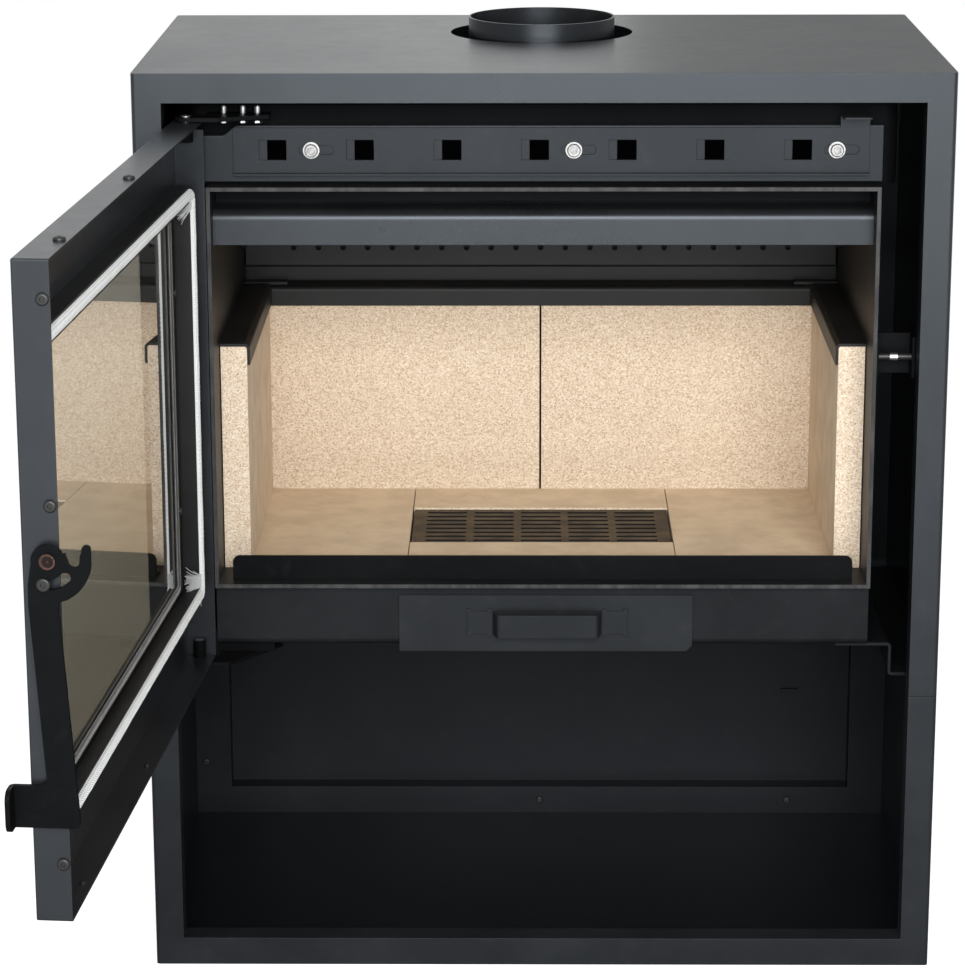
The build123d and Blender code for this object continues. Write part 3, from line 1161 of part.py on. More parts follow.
def latch_lever():
    """The hook, its bar and the handle plate, cut and folded from one sheet."""
    low, high = -LEVER_LENGTH, HANDLE_HEIGHT - LEVER_LENGTH
    outline = lever_outline() + rect((-HANDLE_REACH, 0), (low, high))
    lean = radians(LEVER_LEAN)
    bar_edge = (LEVER_BAR[0] - high * sin(lean)) / cos(lean)
    inner_corner, outer_corner = HANDLE_CORNERS
    outline = fillet(outline.vertices().sort_by_distance((bar_edge, high))[0], inner_corner)
    outline = fillet(outline.vertices().sort_by(lambda v: v.X - v.Y)[-1], outer_corner)
    blade = sideways(Pos(PIVOT_Y, PIVOT_Z) * outline, LEVER_X, LEVER_SHEET)
    front = PIVOT_Y - HANDLE_REACH
    z = (PIVOT_Z + low, PIVOT_Z + low + HANDLE_HEIGHT)
    lip = block((LEVER_X, LEVER_X + LEVER_SHEET + HANDLE_LIP), (front, front + LEVER_SHEET), z)
    corners = lip.edges().filter_by(Axis.Y).group_by(Axis.X)[-1]
    lever = blade + fillet(corners, HANDLE_ROUND)
    bend = [
        e
        for e in lever.edges().filter_by(Axis.Z)
        if abs(e.center().X - LEVER_X) < 0.01 and abs(e.center().Y - front) < 0.01
    ]
    return fillet(bend, HANDLE_FOLD)


LEVER_HEAD_X = LEVER_X + LEVER_SHEET + LEVER_SHAKE


def lever_pivot():
    """The shouldered bush and its cap that the lever turns on."""
    spot = Pos(PIVOT_Y, PIVOT_Z)
    shoulder = spot * Circle(LEVER_BORE + PIVOT_COLLAR)
    collar = sideways(shoulder, DOOR_RIGHT, LEVER_STANDOFF - COLLAR_GAP)
    shank = sideways(spot * Circle(LEVER_BORE - PIN_CLEARANCE), DOOR_RIGHT, LEVER_HEAD_X - DOOR_RIGHT)
    tail = sideways(spot * Circle(LEVER_BORE), DOOR_RIGHT - DOOR_SHEET, DOOR_SHEET)
    radius, height = PIVOT_HEAD
    head = sideways(spot * Circle(radius), LEVER_HEAD_X, height)
    dish_radius, dish_depth = PIVOT_DISH
    dish = sideways(spot * Circle(dish_radius), LEVER_HEAD_X + height - dish_depth, height)
    return collar + shank + tail + head - dish


def guide_screw():
    """The screw in the curved slot that limits the lever, with its spacer."""
    length = LEVER_HEAD_X - DOOR_RIGHT + DOOR_SHEET
    screw = button_screw(GUIDE_SHANK, length, *GUIDE_HEAD)
    return aimed(screw, (LEVER_HEAD_X, GUIDE_Y, GUIDE_Z), (1, 0, 0))


# ================================================================ save every node
os.makedirs("parts", exist_ok=True)

save("upper_casing", *upper_casing())
save("base_casing", *base_casing())
save("rear_frame", rear_frame())
save("back_panel", *back_panel())
save("rear_screws", *rear_screws())

save("firebox_shell", *firebox_shell())
save("flue_collar", flue_collar())
save("base_panel", base_panel())
save("drawer_housing", *drawer_housing())
for side, turned in (("right", lambda part: part), ("left", mirrored)):
    save(f"side_brick_{side}", turned(side_brick()))
    save(f"back_brick_{side}", turned(back_brick()))
    save(f"floor_brick_{side}", turned(floor_brick_side()))
    save(f"side_cap_{side}", turned(side_cap()))
    save(f"baffle_rail_{side}", turned(baffle_rail()))
save("floor_brick_front", floor_brick_middle(LEDGE_BACK, GRATE_FRONT))
save("floor_brick_rear", floor_brick_middle(GRATE_BACK, BACK_BRICK_Y))
save("grate", grate())
save("back_cap", back_cap())
save("log_retainer", log_retainer())
save("airwash_deflector", airwash_deflector())
save("secondary_air_duct", secondary_air_duct())
save("baffle_plate", baffle_plate())

save("air_box", *air_box())
save("upper_front_panel", upper_front_panel())
save("air_slider", air_slider())
save("slider_screws", *slider_screws())
save("slider_washers", *slider_washers())

save("ash_drawer_front", ash_drawer_front())
save("ash_drawer_tray", ash_drawer_tray())
save("ash_drawer_handle", ash_drawer_handle())

save("support_rail_right", support_rail(BASE_PANEL_Y + RAIL_START))
save("support_rail_left", mirrored(support_rail(LOW_TAIL_BACK + RAIL_HINGE_GAP)))
save("hinge_plate_top", hinge_plate_top())
save("hinge_shelf", hinge_shelf())
save("hinge_plate_bottom", hinge_plate_bottom())
save("hinge_spacer", hinge_spacer())
save("hinge_pins", *hinge_pins())
save("hinge_bolts", *hinge_bolts())
save("latch_bracket", latch_bracket())
save("latch_pin", *latch_pin())
save("latch_roller", latch_roller())

save("door_casing", door_casing(), on_door=True)
save("door_screws", *door_screws(), on_door=True)
save("hinge_bushes", *hinge_bushes(), on_door=True)
save("rope_channel", rope_channel(), on_door=True)
save("door_rope", door_rope(), on_door=True)
save("door_glass", door_glass(), on_door=True)
save("glass_gasket", *glass_gasket(), on_door=True)
save("glass_retainers", *glass_retainers(), on_door=True)
save("retainer_screws", *retainer_screws(), on_door=True)
save("lever_pivot", lever_pivot(), on_door=True)
save("guide_screw", guide_screw(), on_door=True)
save("latch_lever", latch_lever(), on_door=True)
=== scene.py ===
import json
import math
import random

import bpy
from bpy.props import FloatProperty, FloatVectorProperty, IntProperty, PointerProperty
from bpy.types import Operator, Panel, PropertyGroup
from mathutils import Matrix, Vector


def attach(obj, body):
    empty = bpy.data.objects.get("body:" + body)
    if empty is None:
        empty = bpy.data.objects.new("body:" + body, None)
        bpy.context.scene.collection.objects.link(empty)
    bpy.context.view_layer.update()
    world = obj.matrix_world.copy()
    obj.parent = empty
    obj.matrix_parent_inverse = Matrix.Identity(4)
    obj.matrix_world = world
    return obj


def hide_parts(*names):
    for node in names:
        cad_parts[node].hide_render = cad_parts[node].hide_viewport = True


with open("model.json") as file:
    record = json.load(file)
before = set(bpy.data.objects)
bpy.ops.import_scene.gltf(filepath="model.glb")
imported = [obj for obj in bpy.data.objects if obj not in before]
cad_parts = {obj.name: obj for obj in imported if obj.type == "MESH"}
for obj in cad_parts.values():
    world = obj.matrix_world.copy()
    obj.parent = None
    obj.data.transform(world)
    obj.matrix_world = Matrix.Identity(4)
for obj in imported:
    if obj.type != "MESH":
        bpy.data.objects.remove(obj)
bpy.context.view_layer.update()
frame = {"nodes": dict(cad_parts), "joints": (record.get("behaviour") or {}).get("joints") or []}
NODES = frame["nodes"]
JOINTS = {joint["name"]: joint for joint in frame["joints"]}
STITCH_SLANT = 0.85  # how far a stitch leans, in stitches
STITCH_STEP = 0.5  # from column to column, in stitches
STRANDS = 4.0  # strands of the braid each way
LEVELS = 10  # steps of height in the shaped stitches
GLASS = 0.004
FAR = 9.0  # beyond the whole object
RIM = -0.2058  # depth in front of which the firebox is paler, on its rim
BEND_TOP = 0.7862  # height above which the airwash deflector is painted near black as shade
SHOULDER, CREST = 0.85, 0.15  # height of a rope stitch at its sides, and what its middle adds
INNER_HALF = 0.3985  # half width, top and front of the casing's inside, whose paint is darkened there as painted shade
INNER_TOP = 0.9262
INNER_FRONT = -0.205
EASE = 0.0005  # how softly the inside's painted shade starts
FIBRE_SIDES = 5
FIBRE_SLENDER = 42  # a fibre's length over its radius
SCATTER = (0.2, 0.15, 1.0)  # spread of the fibres' roots along each axis
SPLAY = (0.15, 0.12, 0.35)  # and of their directions
CAMERA_PLACE = (-0.024, -3.3995, 1.3678)
CAMERA_ANGLES = (15.057, -0.654, -0.147)  # down, to the side and roll, in degrees
CAMERA_LENS = 122.05
FLOOR_SIZE = 40.0
FLOOR_DIM = (0.4, 3.2)  # distances between which the floor grows paler in gloss
FLOOR_LIT = (1.2, 4.8)  # and between which its own light comes in
CARD_PLACE, CARD_SIZE, CARD_LIGHT = (1.80, 3.5, 1.6), (3.2, 3.0), 0.42
FILL_BOX = ((0.15, -3.3, 1.75), (0.0, 0.0, 0.55), 2.4, 1.4)  # place, target, width, height
SWEEP_BOX = ((0.2, -5.4, 0.15), (0.0, 0.0, 0.6), 3.2, 0.3)
BRAID_CORNER = 0.0055

bl_info = {
    "name": "Fireplace insert finishes",
    "version": (1, 0, 0),
    "blender": (4, 5, 0),
    "location": "View3D > Sidebar > Insert",
    "description": "Finishes, sealing rope, glass braid and studio for a fireplace insert",
    "category": "Object",
}


# ---------------------------------------------------------------- shader maths
class Value:
    """A number that varies over a surface; operators on it add Math nodes."""

    def __init__(self, finish, socket):
        self.finish = finish
        self.socket = socket

    def maths(self, operation, *values):
        node = self.finish.node("ShaderNodeMath", {"operation": operation}, dict(enumerate(values)))
        return Value(self.finish, node.outputs[0])

    def __add__(self, other):
        return self.maths("ADD", self, other)

    __radd__ = __add__

    def __sub__(self, other):
        return self.maths("SUBTRACT", self, other)

    def __rsub__(self, other):
        return self.maths("SUBTRACT", other, self)

    def __mul__(self, other):
        return self.maths("MULTIPLY", self, other)

    __rmul__ = __mul__

    def __truediv__(self, other):
        return self.maths("DIVIDE", self, other)

    def __pow__(self, other):
        return self.maths("POWER", self, other)

    def __abs__(self):
        return self.maths("ABSOLUTE", self)

    def floor(self):
        return self.maths("FLOOR", self)

    def fraction(self):
        return self.maths("FRACT", self)

    def hump(self):
        """A half circle's height over 0 to 1."""
        swing = self * 2.0 - 1.0
        return self.maths("MAXIMUM", 1.0 - swing * swing, 0.0) ** 0.5

    def clamped(self):
        return self.maths("MINIMUM", self.maths("MAXIMUM", self, 0.0), 1.0)

    def between(self, low, high):
        """0 below low, 1 above high and smooth between them."""
        node = self.finish.node(
            "ShaderNodeMapRange",
            {"interpolation_type": "SMOOTHSTEP"},
            {"Value": self, "From Min": low, "From Max": high},
        )
        return Value(self.finish, node.outputs["Result"])


class Nodes:
    """A node tree whose nodes are made through one method."""

    def __init__(self, tree):
        self.tree = tree

    def node(self, kind, settings=None, inputs=None):
        made = self.tree.nodes.new(kind)
        for key, value in (settings or {}).items():
            if key == "stops":
                self.fill_ramp(made.color_ramp, value)
            else:
                setattr(made, key, value)
        for key, value in (inputs or {}).items():
            self.fill(made.inputs[key], value)
        return made

    def fill(self, socket, value):
        if isinstance(value, Value):
            value = value.socket
        if isinstance(value, bpy.types.NodeSocket):
            self.tree.links.new(value, socket)
        elif socket.type == "RGBA" and len(value) == 3:
            socket.default_value = (*value, 1.0)
        else:
            socket.default_value = value

    def fill_ramp(self, ramp, stops):
        while len(ramp.elements) < len(stops):
            ramp.elements.new(0.5)
        for element, (place, colour) in zip(ramp.elements, stops):
            element.position = place
            element.color = (*colour, 1.0)

    def axes(self, socket):
        parts = self.node("ShaderNodeSeparateXYZ", None, {0: socket}).outputs
        return [Value(self, part) for part in parts]

    def mixed(self, share, first, second):
        """The first colour at share 0, the second at share 1."""
        sockets = {0: share, 6: first, 7: second}
        return self.node("ShaderNodeMix", {"data_type": "RGBA"}, sockets).outputs[2]


class Finish(Nodes):
    """A material; what is the same all over it is set on its shader's own sockets."""

    def __init__(self, name, **constants):
        self.material = bpy.data.materials.new(name)
        self.material.use_nodes = True
        super().__init__(self.material.node_tree)
        self.shader = self.tree.nodes["Principled BSDF"]
        for key, value in constants.items():
            socket = key.replace("_", " ").title().replace("Ior", "IOR")
            self.shader.inputs[socket].default_value = value
        self.place = self.node("ShaderNodeTexCoord").outputs["Object"]

    def noise(self, scale, detail=3.0, roughness=0.5, place=None, distortion=0.0):
        inputs = {
            "Vector": place or self.place,
            "Scale": scale,
            "Detail": detail,
            "Roughness": roughness,
            "Distortion": distortion,
        }
        return Value(self, self.node("ShaderNodeTexNoise", None, inputs).outputs["Fac"])

    def cells(self, scale):
        """Distance to the nearest of scattered points."""
        inputs = {"Vector": self.place, "Scale": scale}
        return Value(self, self.node("ShaderNodeTexVoronoi", None, inputs).outputs["Distance"])

    def stretched(self, x, y, z):
        """The object's coordinates, scaled along each axis."""
        inputs = {"Vector": self.place, "Scale": (x, y, z)}
        return self.node("ShaderNodeMapping", None, inputs).outputs[0]

    def facing(self):
        """The surface's own normal, as three numbers."""
        return self.axes(self.node("ShaderNodeNewGeometry").outputs["Normal"])

    def ramp(self, share, stops):
        return self.node("ShaderNodeValToRGB", {"stops": stops}, {0: share}).outputs[0]

    def soft_edges(self, radius):
        """The normal of edges rounded by a radius."""
        return self.node("ShaderNodeBevel", {"samples": 4}, {"Radius": radius}).outputs[0]

    def bump(self, height, depth, normal=None):
        inputs = {"Height": height, "Strength": 1.0, "Distance": depth}
        if normal:
            inputs["Normal"] = normal
        return self.node("ShaderNodeBump", None, inputs).outputs[0]

    def finished(self, **links):
        """Joins colours, numbers and normals to the shader and gives the material."""
        for key, value in links.items():
            self.fill(self.shader.inputs[key.replace("_", " ").title()], value)
        return self.material


# ---------------------------------------------------------------- finishes
def sprayed_steel(
    name, colour, sheen=0.42, gloss=0.38, dust=0.25, edge=0.0006, inside=0.0, top=FAR
):
    """Matt heat-proof paint on folded sheet: fine orange peel, a little dust, soft bends.

    inside darkens the inner faces of the casing as painted shade; above the height top the paint is
    painted near black as shade."""
    paint = Finish(name, specular_ior_level=gloss, specular_tint=(0.80, 0.90, 1.0, 1.0))
    peel = paint.noise(1400.0, 2.0)
    cloud = paint.noise(7.0, 4.0, 0.6)
    rub = paint.noise(46.0, 5.0, 0.7, distortion=0.4)
    speck = 1.0 - paint.cells(420.0).between(0.03, 0.09)
    light = tuple(min(1.0, c * 1.3) for c in colour)
    dark = tuple(c * 0.80 for c in colour)
    tone = paint.mixed(cloud.between(0.3, 0.7), dark, light)
    up = paint.facing()[2].between(0.5, 1.0)
    grit = speck * rub.between(0.5, 0.62) * 0.3
    film = (rub.between(0.52, 0.8) * 0.10 + up * cloud * 0.05 + grit) * dust
    tone = paint.mixed(film, tone, (0.16, 0.155, 0.145))
    x, y, z = paint.axes(paint.place)
    # painted shade: the casing's inner faces are darkened towards near black by the share inside
    beside = (abs(x) - INNER_HALF).between(0.0, -EASE)
    below = z.between(INNER_TOP, INNER_TOP - EASE)
    within = beside * below * y.between(INNER_FRONT, INNER_FRONT + 0.002)
    tone = paint.mixed(within * inside, tone, (0.0015, 0.0015, 0.0016))
    # painted shade: above the height top the paint turns near black, and rougher
    high = z.between(top, top + 0.002)
    tone = paint.mixed(high, tone, (0.0015, 0.0015, 0.0015))
    sweep = paint.noise(1.7, 1.0)
    rough = sheen + (sweep - 0.5) * 0.2 + (cloud - 0.5) * 0.08 + (rub - 0.5) * 0.08
    rough = (rough + film * 0.5 + high * 0.6).clamped()
    height = peel * 0.6 + paint.noise(320.0, 2.0) * 0.4
    normal = paint.bump(height, 0.00006, paint.soft_edges(edge))
    return paint.finished(base_color=tone, roughness=rough, normal=normal)


def fired_steel(name="fired_steel", rim=-FAR):
    """Black firebox plate: matt paint with scuffs and brick dust on level faces.

    In front of the depth rim it is paler."""
    steel = Finish(name, specular_ior_level=0.22)
    cloud = steel.noise(9.0, 5.0, 0.62)
    scuff = steel.noise(60.0, 6.0, 0.75, place=steel.stretched(1.0, 1.0, 0.35))
    up = steel.facing()[2].between(0.6, 1.0)
    crumbs = (1.0 - steel.cells(260.0).between(0.05, 0.16)) * up
    tone = steel.mixed(cloud.between(0.3, 0.75), (0.005, 0.0052, 0.0054), (0.011, 0.0115, 0.012))
    tone = steel.mixed(scuff.between(0.60, 0.82) * 0.15, tone, (0.06, 0.06, 0.06))
    tone = steel.mixed(crumbs * cloud.between(0.45, 0.6) * 0.4, tone, (0.42, 0.33, 0.22))
    _, y, _ = steel.axes(steel.place)
    pale = y.between(rim + 0.0006, rim + 0.0001) * (0.35 + scuff.between(0.42, 0.62) * 0.65)
    tone = steel.mixed(pale, tone, (0.044, 0.044, 0.045))
    rough = (0.46 + (cloud - 0.5) * 0.16 + scuff.between(0.5, 0.9) * 0.12).clamped()
    height = steel.noise(700.0, 3.0) * 0.5 + scuff * 0.5
    normal = steel.bump(height, 0.00009, steel.soft_edges(0.0005))
    return steel.finished(base_color=tone, roughness=rough, normal=normal)


def vermiculite():
    """Pressed vermiculite board: a smooth tan skin, and flaky grain on the faces cut square."""
    board = Finish("vermiculite", specular_ior_level=0.12, sheen_weight=0.15, sheen_roughness=0.6)
    cut = abs(board.facing()[1]).between(0.35, 0.75)
    flake = board.node("ShaderNodeTexVoronoi", None, {"Vector": board.place, "Scale": 840.0})
    parts = board.node("ShaderNodeSeparateColor", None, {0: flake.outputs["Color"]})
    pick = Value(board, parts.outputs[0])
    fine = board.noise(1100.0, 3.0, 0.65)
    patch = board.noise(26.0, 4.0, 0.55)
    wide = board.noise(5.0, 3.0, 0.5)
    grain = board.ramp(
        pick * 0.55 + fine * 0.45,
        [
            (0.16, (0.34, 0.235, 0.145)),
            (0.30, (0.53, 0.40, 0.275)),
            (0.46, (0.63, 0.51, 0.385)),
            (0.66, (0.71, 0.60, 0.475)),
            (0.86, (0.83, 0.75, 0.63)),
        ],
    )
    pits = 1.0 - board.cells(480.0).between(0.12, 0.26)
    pits = pits * board.noise(120.0, 2.0).between(0.42, 0.56)
    grain = board.mixed(pits * 0.45, grain, (0.16, 0.10, 0.06))
    skin = board.mixed(patch.between(0.3, 0.7), (0.53, 0.395, 0.240), (0.65, 0.500, 0.320))
    fleck = fine.between(0.60, 0.72) * 0.35
    skin = board.mixed(fleck, skin, (0.70, 0.58, 0.43))
    spots = (1.0 - board.cells(150.0).between(0.03, 0.09)) * patch.between(0.45, 0.6)
    skin = board.mixed(spots * 0.5, skin, (0.28, 0.19, 0.11))
    tone = board.mixed(cut, skin, grain)
    tone = board.mixed((wide.between(0.35, 0.7) - 0.5) * 0.12, tone, (0.40, 0.29, 0.18))
    height = pick * 0.5 * cut + fine * 0.6 + patch * 0.4 - pits * 0.8 * cut
    normal = board.bump(height, 0.00035, board.soft_edges(0.0009))
    rough = (0.86 + (fine - 0.5) * 0.16).clamped()
    return board.finished(base_color=tone, roughness=rough, normal=normal)


def cast_iron():
    """Sand-cast grate: brown where it faces up, and painted near black as shade on the faces that
    don't, in the slots.
    """
    iron = Finish("cast_iron", metallic=0.25, specular_ior_level=0.35)
    sand = iron.noise(650.0, 4.0, 0.7)
    patch = iron.noise(38.0, 4.0, 0.6)
    up = iron.facing()[2].between(0.4, 0.9)
    tone = iron.mixed(patch.between(0.35, 0.68), (0.045, 0.035, 0.024), (0.105, 0.076, 0.046))
    tone = iron.mixed(sand.between(0.58, 0.75) * 0.4, tone, (0.17, 0.125, 0.08))
    # painted shade: faces that don't face up, in the slots, are near black
    tone = iron.mixed(up, (0.0020, 0.0016, 0.0013), tone)
    normal = iron.bump(sand * 0.7 + patch * 0.3, 0.0003, iron.soft_edges(0.0008))
    return iron.finished(base_color=tone, roughness=(0.55 + sand * 0.25).clamped(), normal=normal)


def bare_metal(name, colour, roughness, stain=0.3, metallic=1.0):
    """Small turned or plated pieces, with turning marks and a little tarnish."""
    metal = Finish(name, metallic=metallic)
    cloud = metal.noise(240.0, 4.0, 0.6)
    tone = metal.mixed(cloud.between(0.4, 0.75) * stain, colour, tuple(c * 0.35 for c in colour))
    rough = (roughness + (cloud - 0.5) * 0.2).clamped()
    normal = metal.bump(metal.noise(2600.0, 2.0), 0.00002, metal.soft_edges(0.0003))
    return metal.finished(base_color=tone, roughness=rough, normal=normal)


def turned_bronze(centre, radius):
    """Browned head of the pivot: dark, with a brighter middle and a ring near its rim."""
    bronze = Finish("turned_bronze", metallic=0.5, specular_ior_level=0.2)
    x, _, z = bronze.axes(bronze.place)
    out = ((x - centre.x) ** 2.0 + (z - centre.z) ** 2.0) ** 0.5 / radius
    cloud = bronze.noise(420.0, 3.0)
    ring = out.between(0.60, 0.68) * (1.0 - out.between(0.80, 0.88))
    ring = ring + (1.0 - out.between(0.08, 0.16)) * 0.6
    brown = (0.010, 0.0060, 0.0055)
    tone = bronze.mixed(ring * cloud.between(0.15, 0.5), brown, (0.070, 0.036, 0.028))
    normal = bronze.bump(cloud, 0.00005, bronze.soft_edges(0.0004))
    return bronze.finished(base_color=tone, roughness=0.50 + cloud * 0.2, normal=normal)


def stove_glass():
    """Heat-proof glass with a faint amber tint, darker and browner towards the bottom, and a little
    haze.
    """
    glass = Finish(
        "stove_glass",
        ior=1.5,
        transmission_weight=1.0,
        coat_weight=0.6,
        coat_roughness=0.01,
        coat_ior=1.55,
    )
    layer = glass.node("ShaderNodeLayerWeight", None, {"Blend": 0.25})
    facing = Value(glass, layer.outputs["Facing"])
    smear = glass.noise(14.0, 6.0, 0.6, place=glass.stretched(1.0, 1.0, 0.5))
    _, _, z = glass.axes(glass.place)
    amber = glass.mixed(z.between(0.50, 0.78), (0.085, 0.070, 0.040), (0.17, 0.155, 0.115))
    tone = glass.mixed(facing.between(0.15, 0.55), (0.86, 0.84, 0.79), amber)
    rough = smear.between(0.55, 0.85) * 0.03 + 0.004
    return glass.finished(base_color=tone, roughness=rough)


def ceramic_yarn(columns):
    """White knitted glass-fibre rope: bright yarn crowns, with painted shade greyer between the
    stitches.
    """
    yarn = Finish("ceramic_yarn", specular_ior_level=0.35, sheen_weight=0.4, sheen_roughness=0.4)
    around, along, _ = yarn.axes(yarn.node("ShaderNodeUVMap").outputs[0])
    turn = around * columns
    across = abs(turn.fraction() - 0.5) * 2.0
    lap = (along * 2.0 + across * STITCH_SLANT + turn.floor() * STITCH_STEP).fraction()
    stitch = lap.hump() * (0.82 + (1.0 - abs(across - 0.5) * 2.0) * 0.18)
    strands = (across * 3.0 + lap * 0.5).fraction().hump()
    fluff = yarn.noise(900.0, 4.0, 0.65)
    soil = yarn.noise(18.0, 4.0, 0.6)
    # painted shade: the rope is greyer between the stitches and between the strands
    crown = (stitch * stitch).between(0.08, 0.80)
    tone = yarn.mixed(crown, (0.20, 0.215, 0.21), (0.86, 0.88, 0.87))
    tone = yarn.mixed((1.0 - strands) * 0.12, tone, (0.40, 0.42, 0.41))
    tone = yarn.mixed(soil.between(0.55, 0.85) * 0.30, tone, (0.46, 0.46, 0.43))
    tone = yarn.mixed(fluff.between(0.45, 0.7) * 0.30, tone, (0.95, 0.96, 0.95))
    normal = yarn.bump(stitch * 0.7 + strands * 0.15 + fluff * 0.3, 0.0006)
    return yarn.finished(base_color=tone, roughness=0.72 + fluff * 0.15, normal=normal)


def glass_braid():
    """Black braided tape, darker in the strands' hollows as painted shade, with pale dots painted
    between the strands as glints.
    """
    braid = Finish("glass_braid", specular_ior_level=0.45, sheen_weight=0.3, sheen_roughness=0.35)
    around, along, _ = braid.axes(braid.node("ShaderNodeUVMap").outputs[0])
    first = along * 2.0 + around * STRANDS
    second = along * 2.0 - around * STRANDS
    over = ((first.floor() + second.floor()) * 0.5).fraction() * 2.0
    stitch = first.fraction().hump() * (0.45 + over * 0.55)
    stitch = stitch.maths("MAXIMUM", stitch, second.fraction().hump() * (1.0 - over * 0.45))
    fine = braid.noise(1500.0, 3.0, 0.6)
    # painted glints: pale dots between the strands; the tone below is darker in the strands'
    # hollows as painted shade
    painted_glint = first.fraction().hump() * second.fraction().hump() * (1.0 - over)
    tone = braid.mixed(stitch.between(0.1, 0.8), (0.003, 0.003, 0.003), (0.032, 0.032, 0.031))
    tone = braid.mixed(painted_glint.between(0.86, 0.97) * fine.between(0.38, 0.5), tone, (0.60, 0.60, 0.56))
    normal = braid.bump(fine * 0.4 + stitch * 0.6, 0.0004)
    return braid.finished(base_color=tone, roughness=0.55 + fine * 0.25, normal=normal)


def woven_tape():
    """Flat black woven tape under the edge of the glass."""
    tape = Finish("woven_tape", specular_ior_level=0.3)
    x, y, z = tape.axes(tape.place)
    weave = (y * 700.0 + z * 700.0).fraction().hump() * (y * 700.0 - z * 700.0).fraction().hump()
    lint = tape.noise(800.0, 3.0, 0.6)
    tone = tape.mixed(weave.between(0.2, 0.8), (0.006, 0.006, 0.006), (0.030, 0.030, 0.029))
    tone = tape.mixed(lint.between(0.6, 0.8) * 0.3, tone, (0.09, 0.09, 0.085))
    normal = tape.bump(weave + lint * 0.3, 0.0002)
    return tape.finished(base_color=tone, roughness=0.7 + lint * 0.2, normal=normal)


# ---------------------------------------------------------------- making pieces
def clear_selection():
    bpy.ops.object.select_all(action="DESELECT")


def activate(piece):
    clear_selection()
    piece.select_set(True)
    bpy.context.view_layer.objects.active = piece


def settled(piece, name, material):
    """Names a piece, puts its place into its mesh and gives it a material."""
    piece.name = name
    piece.data.name = name
    activate(piece)
    bpy.ops.object.transform_apply(location=True, rotation=True, scale=True)
    piece.data.materials.clear()
    piece.data.materials.append(material)
    return piece


def door_swing():
    """The turn that opens the shut door about its pins."""
    hinge = JOINTS["door_hinge"]
    pin = Vector(hinge["pos_m"])
    turn = Matrix.Rotation(-math.radians(hinge["range_deg"][1]), 4, "Z")
    return Matrix.Translation(pin) @ turn @ Matrix.Translation(-pin)


def edit(piece, mode="VERT"):
    """Opens a piece for editing with nothing selected."""
    activate(piece)
    bpy.ops.object.mode_set(mode="EDIT")
    bpy.ops.mesh.select_mode(type=mode)
    bpy.ops.mesh.select_all(action="DESELECT")
    bpy.ops.object.mode_set(mode="OBJECT")


def picked(elements, test):
    """Selects the elements that pass a test and opens the piece again."""
    for element in elements:
        element.select = bool(test(element))
    bpy.ops.object.mode_set(mode="EDIT")


def applied(piece, kind, **settings):
    """Adds a modifier to a piece and applies it."""
    activate(piece)
    modifier = piece.modifiers.new(kind.lower(), kind)
    for key, value in settings.items():
        setattr(modifier, key, value)
    bpy.ops.object.modifier_apply(modifier=modifier.name)


def loop_curve(half, low, high, corner):
    """A closed curve round a rounded rectangle, drawn flat with its height along Y."""
    clear_selection()
    bpy.ops.mesh.primitive_plane_add(size=1.0, location=(0.0, (low + high) / 2, 0.0))
    path = bpy.context.object
    bpy.ops.object.mode_set(mode="EDIT")
    bpy.ops.transform.resize(value=(2 * half, high - low, 1.0))
    bpy.ops.mesh.bevel(offset=corner, offset_type="OFFSET", segments=10, affect="VERTICES")
    bpy.ops.mesh.delete(type="ONLY_FACE")
    bpy.ops.object.mode_set(mode="OBJECT")
    bpy.ops.object.transform_apply(location=True, rotation=True, scale=True)
    bpy.ops.object.convert(target="CURVE")
    path.data.dimensions = "2D"
    return path


